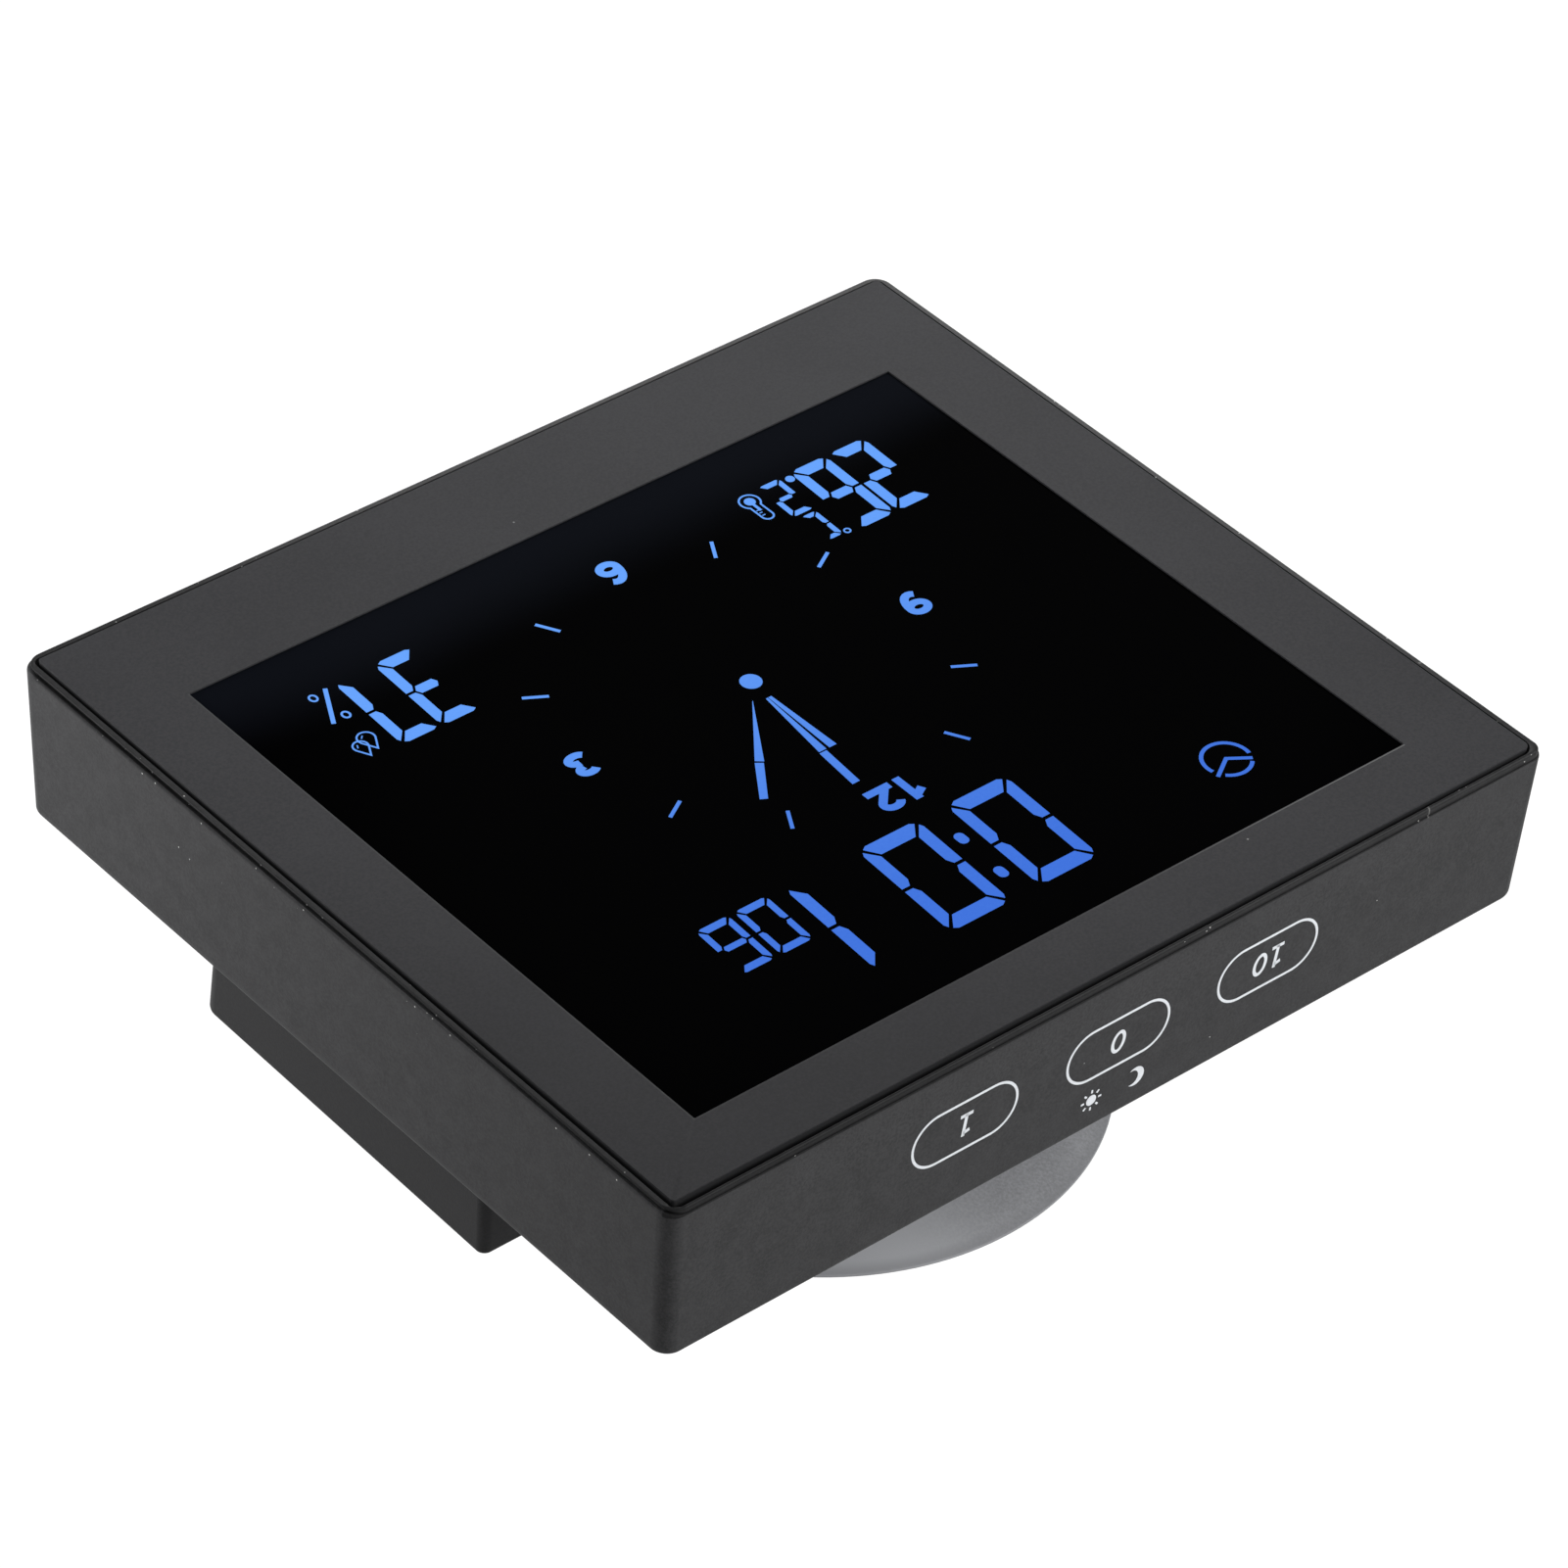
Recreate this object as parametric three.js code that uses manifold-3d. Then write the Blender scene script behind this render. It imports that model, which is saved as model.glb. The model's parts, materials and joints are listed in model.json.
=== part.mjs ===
// Digital clock with a lit display, three touch keys behind its upper wall, a battery bay in a
// pod on its back and a suction cup. Sizes are in millimetres. The clock lies on its cup with the
// display up: +X points to three o'clock, +Y to twelve o'clock, and the cup's rim is at Z = 0.

import * as THREE from 'three';
import { mergeVertices } from 'three/addons/utils/BufferGeometryUtils.js';
import Module from 'manifold-3d';

const wasm = await Module();
wasm.setup();

// Body
const bodyHeight = 107.6;
const bodyDepth = 20.3;
const lipHeight = 1; // front edge of the case, which overhangs its side walls
const lipStep = 0.12;
const wallDraft = 0.48; // each side wall leans in by this much towards the back
const bodyCornerRadius = 2.1;
const frontEdgeRound = 0.5;
const rearEdgeRound = 0.8;
const sideWall = 3;
const rearLip = 1.8; // wall left beside the rear opening
const rimWidth = 1.1; // front edge of the case, outside the panel
const panelGroove = 0.3; // dark slit between rim and panel
const panelProud = 0.3;
const panelCornerRadius = 0.8;
const ledgeThickness = 1.4;
const cavityCornerRadius = 1;
const rearCornerRadius = 1.6; // corners of the rear opening

// Front panel and its window
const bezelSide = 9.75; // matte border of the panel beside the window
const bezelUpper = 7.9;
const bezelLower = 13.7;
const windowCornerRadius = 0.2;
const printOverlap = 0.18; // the print covers the edge of the view
const printShift = { x: 0.65, y: 0.27 }; // of the print, off the middle of the view
const filmThickness = 0.2;
const lensThickness = 1.8;
const gasketThickness = 0.3;

// Display module
const lcdSideBorder = 2.65;
const lcdTopBorder = 1.8;
const lcdContactBorder = 4.2; // front glass past the window's lower edge
const lcdContactStep = 3; // part of it that the rear glass leaves free
const lcdGlassThickness = 1;
const guideBorder = 0.6;
const guideThickness = 2.5;
const carrierWall = 1;
const carrierFloor = 1.4;
const zebraInset = 9.5; // from each end of the display glass
const zebraWidth = 1.4;
const ledThickness = 1.2;
const ledLength = 4;
const ledHeight = 1.6;

// Circuit boards
const boardThickness = 1.6;
const boardScrewInset = 10; // from the board's upper and lower ends
const boardScrewLength = 4.5;
const boardScrewHeadRadius = 1.35;
const boardScrewHeadHeight = 1;
const boardScrewShankRadius = 0.7;
const bossLength = 7;
const chipSize = 10;
const chipThickness = 1.5;
const buzzerRadius = 6;
const buzzerHeight = 3.6;
const capacitorRadius = 2.5;
const capacitorHeight = 5.4;
const crystalLength = 6.2;
const crystalRadius = 1;
const sensorSize = 3;
const sensorThickness = 1;
const keyPitch = 21;
const keyShift = -0.4; // the middle key's X
const keyHeight = 10.2; // key centres above the body's rear plane
const keyPadWidth = 12;
const keyPadHeight = 6;
const keyPadThickness = 1.3;
const keyBoardEnd = 4; // past the outer pads
const keyBoardGap = 0.95; // to the case's ledge
const keyBoardThickness = 1;
const ribbonWidth = 10;
const ribbonThickness = 0.3;
const ribbonReach = 3;

// Rear cover and its pod
const coverThickness = 2;
const sealThickness = 0.8;
const sealWidth = 0.7;
const podShoulder = 5.1; // body left on each side of the pod
const podDepth = 13.2;
const podLowerEdge = -27.3; // Y of the pod's lower wall at the pod's face
const podLowerDraft = 1.2; // the lower wall leans out by this much towards the face
const podCornerRadius = 2;
const podSideWall = 1.7;
const podRootWall = 1.1; // lower wall at the cover, where it is thinnest
const podFaceWall = 1.8;
const ventSlotWidth = 1.2;
const ventSlotPitch = 2.6;
const soundSlotLength = 9;
const soundSlotCount = 5;
const sensorSlotLength = 6;
const sensorSlotCount = 3;

// Case screws and their posts
const postSize = 6;
const caseScrewLength = 6;
const caseScrewHeadRadius = 2;
const caseScrewHeadHeight = 1.1;
const caseScrewShankRadius = 0.9;

// Cells and their tray
const cellRadius = 5.25;
const cellLength = 44.5;
const cellNubRadius = 1.9;
const cellNubHeight = 1.2;
const cellEdgeRound = 0.4;
const cellSpacing = 0.4; // between the two rows
const springLength = 3.8;
const springWire = 0.35; // wire radius
const springTurns = 3;
const springWideRadius = 3;
const springNarrowRadius = 1.6;
const contactThickness = 0.4;
const contactWidth = 8;
const contactHeight = 8.4;
const trayWall = 0.8;
const trayFloor = 1.2;
const trayRib = 1.2; // wall between the two cells of a row
const trayEndGap = 2.3; // between the tray and each side wall of the pod
const trayFlange = 1.5;
const trayFlangeThickness = 1.2;
const trayScrewLength = 1.6;
const trayScrewHeadRadius = 1.3;
const trayScrewHeadHeight = 0.8;
const trayScrewShankRadius = 0.55;
const leadRadius = 0.6;
const leadOffset = 5; // sideways reach of each lead

// Battery door
const doorFlange = 1.5; // runs in the groove on each side of the door
const doorFlangeThickness = 0.7;
const doorGripWidth = 16;
const doorGripPitch = 1.6;
const doorGripCount = 5;
const doorGripGroove = 0.7;
const doorGripDepth = 0.5;

// Suction cup
const cupHeight = 12.2; // rim plane to the pod's face
const cupRadius = 33.7;
const cupRimThickness = 1.3;
const cupRimFlat = 2.4;
const cupEdgeRound = 0.35;
const cupLipRadius = 25.5;
const cupLipHeight = 2.9;
const cupDomeRadius = 14;
const cupDomeHeight = 6.2;
const cupDish = 0.3; // sag between lip and dome
const cupHollow = 2.8;
const cupShoulderRadius = 8.5;
const cupShoulderThickness = 1.8;
const cupShoulderStep = 0.6;
const cupNeckRadius = 4.9;
const plugRadius = 7.6;
const plugThickness = 1.6;
const plugBevel = 0.6;
const plugStemRadius = 2.4;
const plugStemLength = 6;
const plugTrayGap = 1.3;
const plugWallGap = 3.5; // between the plug and the pod's upper wall

// Clearances
const seatGap = 0.05; // between stacked flat faces
const slipGap = 0.2; // round a piece in its pocket or a rail in its groove
const boreGap = 0.25; // round a screw or stem in its hole
const cutMargin = 2; // how far a cutting shape runs past the face that it opens

// Facets
const cornerSteps = 6;
const roundSides = 24;
const cupSides = 64;
const screwSides = 16;

// Levels along Z, from the cup's rim up
const podFaceZ = cupHeight;
const podInnerZ = podFaceZ + podFaceWall;
const bodyRearZ = podFaceZ + podDepth;
const coverFrontZ = bodyRearZ + coverThickness;
const sealBackZ = coverFrontZ + seatGap;
const shoulderZ = sealBackZ + sealThickness + seatGap;
const caseScrewSeatZ = bodyRearZ + seatGap + caseScrewHeadHeight;
const bodyFrontZ = bodyRearZ + bodyDepth;
const panelFrontZ = bodyFrontZ + panelProud;
const lensFrontZ = panelFrontZ - filmThickness - seatGap;
const lensBackZ = lensFrontZ - lensThickness;
const gasketBackZ = lensBackZ - seatGap - gasketThickness;
const ledgeFrontZ = gasketBackZ - seatGap;
const ledgeBackZ = ledgeFrontZ - ledgeThickness;
const lcdFrontZ = lensBackZ - seatGap;
const lcdStepZ = lcdFrontZ - lcdGlassThickness;
const lcdBackZ = lcdStepZ - lcdGlassThickness;
const guideFrontZ = lcdBackZ - seatGap;
const guideBackZ = guideFrontZ - guideThickness;
const carrierFloorZ = guideBackZ - seatGap;
const carrierBackZ = carrierFloorZ - carrierFloor;
const boardFrontZ = carrierBackZ - seatGap;
const boardBackZ = boardFrontZ - boardThickness;
const keyZ = bodyRearZ + keyHeight;
const keyBoardHeight = 2 * (ledgeBackZ - keyBoardGap - keyZ);

// Outlines in plan, each as its low and high X and Y. The cell bay has two rows of two
// compartments; the pod goes round it and the cup's plug, and the body is wider than the pod.
const compartmentLength = 2 * contactThickness + springLength + cellLength + 2 * slipGap;
const podInsideLow = podLowerEdge + podLowerDraft + podRootWall;
const bay = {
  xLow: -trayRib / 2 - compartmentLength,
  xHigh: trayRib / 2 + compartmentLength,
  yLow: podInsideLow + slipGap + trayWall,
  yHigh: podInsideLow + slipGap + trayWall + 4 * cellRadius + cellSpacing + 2 * slipGap,
};
const cellRows = [bay.yLow + slipGap + cellRadius, bay.yHigh - slipGap - cellRadius];
const tray = grown(bay, trayWall);
const cupY = tray.yHigh + plugTrayGap + plugRadius;
const podInside = {
  xLow: tray.xLow - trayEndGap,
  xHigh: tray.xHigh + trayEndGap,
  yLow: podInsideLow,
  yHigh: cupY + plugRadius + plugWallGap,
};
const pod = { ...grown(podInside, podSideWall), yLow: podLowerEdge };
const bodyWidth = 2 * (pod.xHigh + podShoulder);

const rearInset = lipStep + wallDraft;
const rearWidth = bodyWidth - 2 * rearInset;
const rearHeight = bodyHeight - 2 * rearInset;
const cavity = centredRect(rearWidth - 2 * sideWall, rearHeight - 2 * sideWall);
const rearOpening = centredRect(rearWidth - 2 * rearLip, rearHeight - 2 * rearLip);
const coverPlate = grown(rearOpening, -slipGap);
const panelRecess = centredRect(bodyWidth - 2 * rimWidth, bodyHeight - 2 * rimWidth);
const panel = grown(panelRecess, -panelGroove);
const windowRect = {
  xLow: panel.xLow + bezelSide,
  xHigh: panel.xHigh - bezelSide,
  yLow: panel.yLow + bezelLower,
  yHigh: panel.yHigh - bezelUpper,
};
const printedWindow = {
  xLow: windowRect.xLow + printOverlap + printShift.x,
  xHigh: windowRect.xHigh - printOverlap + printShift.x,
  yLow: windowRect.yLow + printOverlap + printShift.y,
  yHigh: windowRect.yHigh - printOverlap + printShift.y,
};
const windowMiddle = (windowRect.yLow + windowRect.yHigh) / 2;
const lcd = {
  xLow: windowRect.xLow - lcdSideBorder,
  xHigh: windowRect.xHigh + lcdSideBorder,
  yLow: windowRect.yLow - lcdContactBorder,
  yHigh: windowRect.yHigh + lcdTopBorder,
};
const zebra = {
  xLow: lcd.xLow + zebraInset,
  xHigh: lcd.xHigh - zebraInset,
  yLow: lcd.yLow + (lcdContactStep - zebraWidth) / 2,
  yHigh: lcd.yLow + (lcdContactStep + zebraWidth) / 2,
};
const guide = grown(windowRect, guideBorder);
const carrier = grown(lcd, slipGap + carrierWall);
const ledgeOpening = grown(carrier, slipGap);
const board = {
  xLow: cavity.xLow + slipGap,
  xHigh: cavity.xHigh - slipGap,
  yLow: cavity.yLow + postSize + slipGap,
  yHigh: cavity.yHigh - postSize - slipGap,
};

// Levels of the cells and their tray
const doorInnerZ = podInnerZ - seatGap;
const trayRimZ = podInnerZ + slipGap;
const cellZ = trayRimZ + slipGap + cellRadius;
const bayFloorZ = cellZ + cellRadius + slipGap;
const trayFloorFrontZ = bayFloorZ + trayFloor;
const flangeBackZ = Math.max(coverFrontZ, bayFloorZ) + seatGap;
const flangeFrontZ = Math.max(flangeBackZ + trayFlangeThickness, trayFloorFrontZ);

const postCentre = { x: cavity.xHigh - postSize / 2, y: cavity.yHigh - postSize / 2 };
const bossInnerX = ledgeOpening.xHigh;
const boardScrewX = (bossInnerX + cavity.xHigh) / 2;
const boardScrewY = board.yHigh - boardScrewInset;

function centredRect(width, height) {
  return { xLow: -width / 2, xHigh: width / 2, yLow: -height / 2, yHigh: height / 2 };
}

function grown(rect, by) {
  return { xLow: rect.xLow - by, xHigh: rect.xHigh + by, yLow: rect.yLow - by, yHigh: rect.yHigh + by };
}

// Points of a rectangle with rounded corners, anticlockwise
function roundedRing(rect, radius) {
  const corners = [
    [rect.xHigh - radius, rect.yHigh - radius],
    [rect.xLow + radius, rect.yHigh - radius],
    [rect.xLow + radius, rect.yLow + radius],
    [rect.xHigh - radius, rect.yLow + radius],
  ];
  return corners.flatMap(([x, y], quarter) => {
    const arc = [];
    for (let step = 0; step <= cornerSteps; step += 1) {
      const angle = (quarter + step / cornerSteps) * Math.PI / 2;
      arc.push(new THREE.Vector2(x + radius * Math.cos(angle), y + radius * Math.sin(angle)));
    }
    return arc;
  });
}

// Flat plate of a rounded outline between two levels, with an optional rounded hole
function plate(rect, radius, zLow, zHigh, hole = null, holeRadius = 0) {
  const outline = new THREE.Shape(roundedRing(rect, radius));
  if (hole) outline.holes.push(new THREE.Path(roundedRing(hole, holeRadius)));
  return new THREE.ExtrudeGeometry(outline, { depth: zHigh - zLow, bevelEnabled: false })
    .translate(0, 0, zLow);
}

function block(rect, zLow, zHigh) {
  return new THREE.BoxGeometry(rect.xHigh - rect.xLow, rect.yHigh - rect.yLow, zHigh - zLow)
    .translate((rect.xLow + rect.xHigh) / 2, (rect.yLow + rect.yHigh) / 2, (zLow + zHigh) / 2);
}

function rod(x, y, radius, zLow, zHigh, sides = roundSides) {
  return new THREE.CylinderGeometry(radius, radius, zHigh - zLow, sides)
    .rotateX(Math.PI / 2)
    .translate(x, y, (zLow + zHigh) / 2);
}

// Closed solid through rounded outlines at rising levels
function loft(sections) {
  const rings = sections.map(({ rect, radius, z }) => (
    roundedRing(rect, radius).map((point) => [point.x, point.y, z])));
  const count = rings[0].length;
  const index = [];
  for (let level = 0; level + 1 < rings.length; level += 1) {
    for (let side = 0; side < count; side += 1) {
      const a = level * count + side;
      const b = level * count + (side + 1) % count;
      index.push(a, b, b + count, a, b + count, a + count);
    }
  }
  const top = (rings.length - 1) * count;
  for (let side = 1; side + 1 < count; side += 1) {
    index.push(0, side + 1, side, top, top + side, top + side + 1);
  }
  const geometry = new THREE.BufferGeometry();
  geometry.setAttribute('position', new THREE.Float32BufferAttribute(rings.flat(2), 3));
  geometry.setIndex(index);
  return geometry;
}

function turned(profile, sides = roundSides) {
  const points = profile.map(([radius, z]) => new THREE.Vector2(radius, z));
  return new THREE.LatheGeometry(points, sides).rotateX(Math.PI / 2);
}

function toSolid(geometry) {
  const bare = geometry.clone();
  bare.deleteAttribute('normal');
  bare.deleteAttribute('uv');
  const merged = mergeVertices(bare, 1e-5);
  return new wasm.Manifold(new wasm.Mesh({
    numProp: 3,
    vertProperties: merged.attributes.position.array,
    triVerts: Uint32Array.from(merged.index.array),
  }));
}

function toGeometry(solid) {
  const mesh = solid.getMesh();
  const geometry = new THREE.BufferGeometry();
  geometry.setAttribute('position', new THREE.BufferAttribute(mesh.vertProperties, 3));
  geometry.setIndex(new THREE.BufferAttribute(mesh.triVerts, 1));
  geometry.computeVertexNormals();
  return geometry;
}

function joined(geometries) {
  const solids = geometries.map(toSolid);
  return toGeometry(solids.slice(1).reduce((sum, solid) => sum.add(solid), solids[0]));
}

function cutBy(geometry, tools) {
  return toGeometry(tools.map(toSolid).reduce((rest, tool) => rest.subtract(tool), toSolid(geometry)));
}

function finish(color, roughness, metalness = 0) {
  return new THREE.MeshStandardMaterial({ color, roughness, metalness });
}

const finishes = {
  caseGrey: finish(0x3e3e40, 0.6),
  bezelGrey: finish(0x424244, 0.75),
  displayBlack: finish(0x020204, 0.12),
  seal: finish(0x1b1b1c, 0.85),
  glass: finish(0x9db4c8, 0.1),
  diffuser: finish(0xeef3f6, 0.35),
  whitePlastic: finish(0xe6e6e2, 0.55),
  board: finish(0x1d5a38, 0.5),
  chip: finish(0x141416, 0.5),
  steel: finish(0xb9bcc0, 0.3, 1),
  springSteel: finish(0xc4c6c8, 0.28, 1),
  foam: finish(0x2a2a2c, 0.95),
  cellSleeve: finish(0x6d7a86, 0.35, 0.4),
  leadRed: finish(0xa02020, 0.5),
  leadBlack: finish(0x161616, 0.5),
  cupRubber: finish(0x86888a, 0.45),
  plugGrey: finish(0x4a4b4e, 0.55),
};

const clock = new THREE.Group();
const bodyGroup = new THREE.Group();
const doorGroup = new THREE.Group();
const cupGroup = new THREE.Group();
cupGroup.position.set(0, cupY, 0);
clock.add(bodyGroup, doorGroup, cupGroup);

function addPiece(group, name, geometry, material, position = [0, 0, 0], turn = [0, 0, 0]) {
  const mesh = new THREE.Mesh(geometry, material);
  mesh.name = name;
  mesh.position.set(...position);
  mesh.rotation.set(...turn);
  group.add(mesh);
}

// Each of the four places mirrored about both axes, numbered from the upper right anticlockwise
function fourPlaces(x, y) {
  return [[x, y], [-x, y], [-x, -y], [x, -y]];
}

// Case: a tapered ring of wall with a ledge that carries the front panel
function caseOuter() {
  const front = centredRect(bodyWidth, bodyHeight);
  const rear = centredRect(rearWidth, rearHeight);
  const half = Math.SQRT1_2;
  const section = (rect, inset, z) => ({
    rect: grown(rect, -inset),
    radius: Math.max(bodyCornerRadius - inset, 0.1),
    z,
  });
  return loft([
    section(rear, rearEdgeRound, bodyRearZ),
    section(rear, rearEdgeRound * (1 - half), bodyRearZ + rearEdgeRound * (1 - half)),
    section(rear, 0, bodyRearZ + rearEdgeRound),
    section(front, lipStep, bodyFrontZ - lipHeight),
    section(front, 0, bodyFrontZ - lipHeight),
    section(front, 0, bodyFrontZ - frontEdgeRound),
    section(front, frontEdgeRound * (1 - half), bodyFrontZ - frontEdgeRound * (1 - half)),
    section(front, frontEdgeRound, bodyFrontZ),
  ]);
}

function buildCase() {
  const hollow = cutBy(caseOuter(), [
    plate(panelRecess, panelCornerRadius + panelGroove, ledgeFrontZ, bodyFrontZ + cutMargin),
    plate(ledgeOpening, cavityCornerRadius + slipGap, ledgeBackZ - cutMargin, ledgeFrontZ + cutMargin),
    plate(cavity, cavityCornerRadius, shoulderZ - cutMargin, ledgeBackZ),
    plate(rearOpening, rearCornerRadius, bodyRearZ - cutMargin, shoulderZ),
  ]);
  const supports = [];
  const holes = [];
  fourPlaces(1, 1).forEach(([sx, sy]) => {
    const x = sx * postCentre.x;
    const y = sy * postCentre.y;
    const wallX = sx * (cavity.xHigh + sideWall / 2);
    const wallY = sy * (cavity.yHigh + sideWall / 2);
    supports.push(rod(x, y, postSize / 2, coverFrontZ + seatGap, boardBackZ));
    supports.push(block({
      xLow: Math.min(x, wallX), xHigh: Math.max(x, wallX),
      yLow: Math.min(y, wallY), yHigh: Math.max(y, wallY),
    }, shoulderZ, boardBackZ));
    holes.push(rod(x, y, caseScrewShankRadius + boreGap, coverFrontZ - cutMargin,
      caseScrewSeatZ + caseScrewLength + boreGap, screwSides));
    const bossY = sy * boardScrewY;
    const bossEdges = [sx * bossInnerX, sx * (cavity.xHigh + sideWall / 2)];
    supports.push(block({
      xLow: Math.min(...bossEdges), xHigh: Math.max(...bossEdges),
      yLow: bossY - bossLength / 2, yHigh: bossY + bossLength / 2,
    }, boardFrontZ + seatGap, ledgeBackZ + ledgeThickness / 2));
    holes.push(rod(sx * boardScrewX, bossY, boardScrewShankRadius + boreGap, boardFrontZ - cutMargin,
      boardBackZ + boardScrewLength + boreGap, screwSides));
  });
  return cutBy(joined([hollow, ...supports]), holes);
}

function podOuter() {
  const root = { ...pod, yLow: podLowerEdge + podLowerDraft };
  return loft([
    { rect: pod, radius: podCornerRadius, z: podFaceZ },
    { rect: root, radius: podCornerRadius, z: bodyRearZ },
    { rect: root, radius: podCornerRadius, z: bodyRearZ + coverThickness / 2 },
  ]);
}

function ventSlots(x, y, length, count) {
  return Array.from({ length: count }, (unused, slot) => {
    const slotY = y + (slot - (count - 1) / 2) * ventSlotPitch;
    return block({
      xLow: x - length / 2, xHigh: x + length / 2,
      yLow: slotY - ventSlotWidth / 2, yHigh: slotY + ventSlotWidth / 2,
    }, bodyRearZ - cutMargin, coverFrontZ + cutMargin);
  });
}

// Space above the pod on the cover's inside, where the taller parts and the vents are
const upperZoneY = (pod.yHigh + board.yHigh) / 2;
const buzzerPlace = [-cavity.xHigh / 2, upperZoneY];
const sensorPlace = [cavity.xHigh / 2, upperZoneY];

const doorOpening = {
  xLow: bay.xLow + slipGap,
  xHigh: bay.xHigh - slipGap,
  yLow: podLowerEdge,
  yHigh: tray.yHigh + slipGap,
};
const doorGroove = {
  ...doorOpening,
  xLow: doorOpening.xLow - doorFlange,
  xHigh: doorOpening.xHigh + doorFlange,
};
const grooveZ = doorInnerZ - doorFlangeThickness - slipGap;

function buildRearCover() {
  const solid = joined([plate(coverPlate, rearCornerRadius - slipGap, bodyRearZ, coverFrontZ),
    podOuter()]);
  const openEdge = { yLow: podLowerEdge - cutMargin };
  const tools = [
    block(podInside, podInnerZ, coverFrontZ + cutMargin),
    block({ ...doorOpening, ...openEdge }, podFaceZ - cutMargin, podInnerZ + slipGap),
    block({ ...doorGroove, ...openEdge }, grooveZ, podInnerZ + slipGap),
    rod(0, cupY, cupNeckRadius + slipGap, podFaceZ - cutMargin, podInnerZ + cutMargin),
    ...ventSlots(...buzzerPlace, soundSlotLength, soundSlotCount),
    ...ventSlots(...sensorPlace, sensorSlotLength, sensorSlotCount),
  ];
  fourPlaces(postCentre.x, postCentre.y).forEach(([x, y]) => {
    const rearZ = bodyRearZ - cutMargin;
    tools.push(rod(x, y, caseScrewShankRadius + boreGap, rearZ, coverFrontZ + cutMargin, screwSides));
    tools.push(rod(x, y, caseScrewHeadRadius + boreGap, rearZ, caseScrewSeatZ + seatGap, screwSides));
  });
  trayScrewPlaces().forEach(([x, y]) => {
    tools.push(rod(x, y, trayScrewShankRadius + boreGap, flangeBackZ - trayScrewLength - boreGap,
      coverFrontZ + cutMargin, screwSides));
  });
  return cutBy(solid, tools);
}

// Tray with the cell bay on its rear side and a flange that lies on the cover
function trayFlangeRect() {
  return {
    xLow: podInside.xLow - trayFlange,
    xHigh: podInside.xHigh + trayFlange,
    yLow: podInside.yLow - trayFlange - 2 * trayScrewHeadRadius,
    yHigh: tray.yHigh,
  };
}

function trayScrewPlaces() {
  const y = podInside.yLow - trayFlange / 2 - trayScrewHeadRadius;
  return [[bay.xHigh / 2, y], [bay.xLow / 2, y]];
}

function buildTray() {
  const flange = trayFlangeRect();
  const halves = [
    { ...bay, xHigh: -trayRib / 2 },
    { ...bay, xLow: trayRib / 2 },
  ];
  const solid = joined([
    block(tray, trayRimZ, flangeFrontZ),
    block(flange, flangeBackZ, flangeFrontZ),
  ]);
  const tools = halves.map((half) => block(half, trayRimZ - cutMargin, bayFloorZ));
  if (flangeFrontZ > trayFloorFrontZ) {
    tools.push(block(bay, trayFloorFrontZ, flangeFrontZ + cutMargin));
  }
  trayScrewPlaces().forEach(([x, y]) => {
    tools.push(rod(x, y, trayScrewShankRadius + boreGap, flangeBackZ - cutMargin, flangeFrontZ + cutMargin,
      screwSides));
  });
  return cutBy(solid, tools);
}

// Screw along +Z with a cross recess in its head; the head's underside is at Z = 0
function buildScrew(headRadius, headHeight, shankRadius, length) {
  const body = turned([
    [0, -headHeight], [headRadius * 0.8, -headHeight], [headRadius, -headHeight * 0.6], [headRadius, 0],
    [shankRadius, 0], [shankRadius, length - shankRadius], [0, length],
  ], screwSides);
  const slotLength = headRadius * 1.1;
  const slotWidth = headRadius * 0.28;
  return cutBy(body, [
    block(centredRect(slotLength, slotWidth), -headHeight - cutMargin, -headHeight / 2),
    block(centredRect(slotWidth, slotLength), -headHeight - cutMargin, -headHeight / 2),
  ]);
}

// Cell lying along X, its nub towards +X, centred on the origin
function buildCell() {
  const end = cellLength / 2;
  const shoulder = end - cellNubHeight;
  return turned([
    [0, -end], [cellRadius - cellEdgeRound, -end], [cellRadius, -end + cellEdgeRound],
    [cellRadius, shoulder - cellEdgeRound], [cellRadius - cellEdgeRound, shoulder],
    [cellNubRadius, shoulder], [cellNubRadius, end], [0, end],
  ]).rotateY(Math.PI / 2);
}

// Wire wound on a cone, from its wide end at X = 0 to its narrow end
function springWireTube() {
  const stepsPerTurn = 8;
  const sides = 5;
  const steps = springTurns * stepsPerTurn;
  const points = [];
  const index = [];
  for (let step = 0; step <= steps; step += 1) {
    const part = step / steps;
    const angle = part * springTurns * 2 * Math.PI;
    const radius = THREE.MathUtils.lerp(springWideRadius, springNarrowRadius, part);
    const along = part * (springLength - 2 * springWire) + springWire / 2;
    for (let side = 0; side < sides; side += 1) {
      const turn = side / sides * 2 * Math.PI;
      const reach = radius + springWire * Math.cos(turn);
      points.push(along - springWire * Math.sin(turn), reach * Math.cos(angle), reach * Math.sin(angle));
    }
  }
  for (let step = 0; step < steps; step += 1) {
    for (let side = 0; side < sides; side += 1) {
      const a = step * sides + side;
      const b = step * sides + (side + 1) % sides;
      index.push(a, b, b + sides, a, b + sides, a + sides);
    }
  }
  const last = steps * sides;
  for (let side = 1; side + 1 < sides; side += 1) {
    index.push(0, side + 1, side, last, last + side, last + side + 1);
  }
  const geometry = new THREE.BufferGeometry();
  geometry.setAttribute('position', new THREE.Float32BufferAttribute(points, 3));
  geometry.setIndex(index);
  return geometry;
}

// Contact plate whose working face is at X = 0
function contactPlate() {
  return new THREE.BoxGeometry(contactThickness, contactWidth, contactHeight)
    .translate(-contactThickness / 2, 0, 0);
}

function buildSpring() {
  return joined([contactPlate(), springWireTube()]);
}

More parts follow.
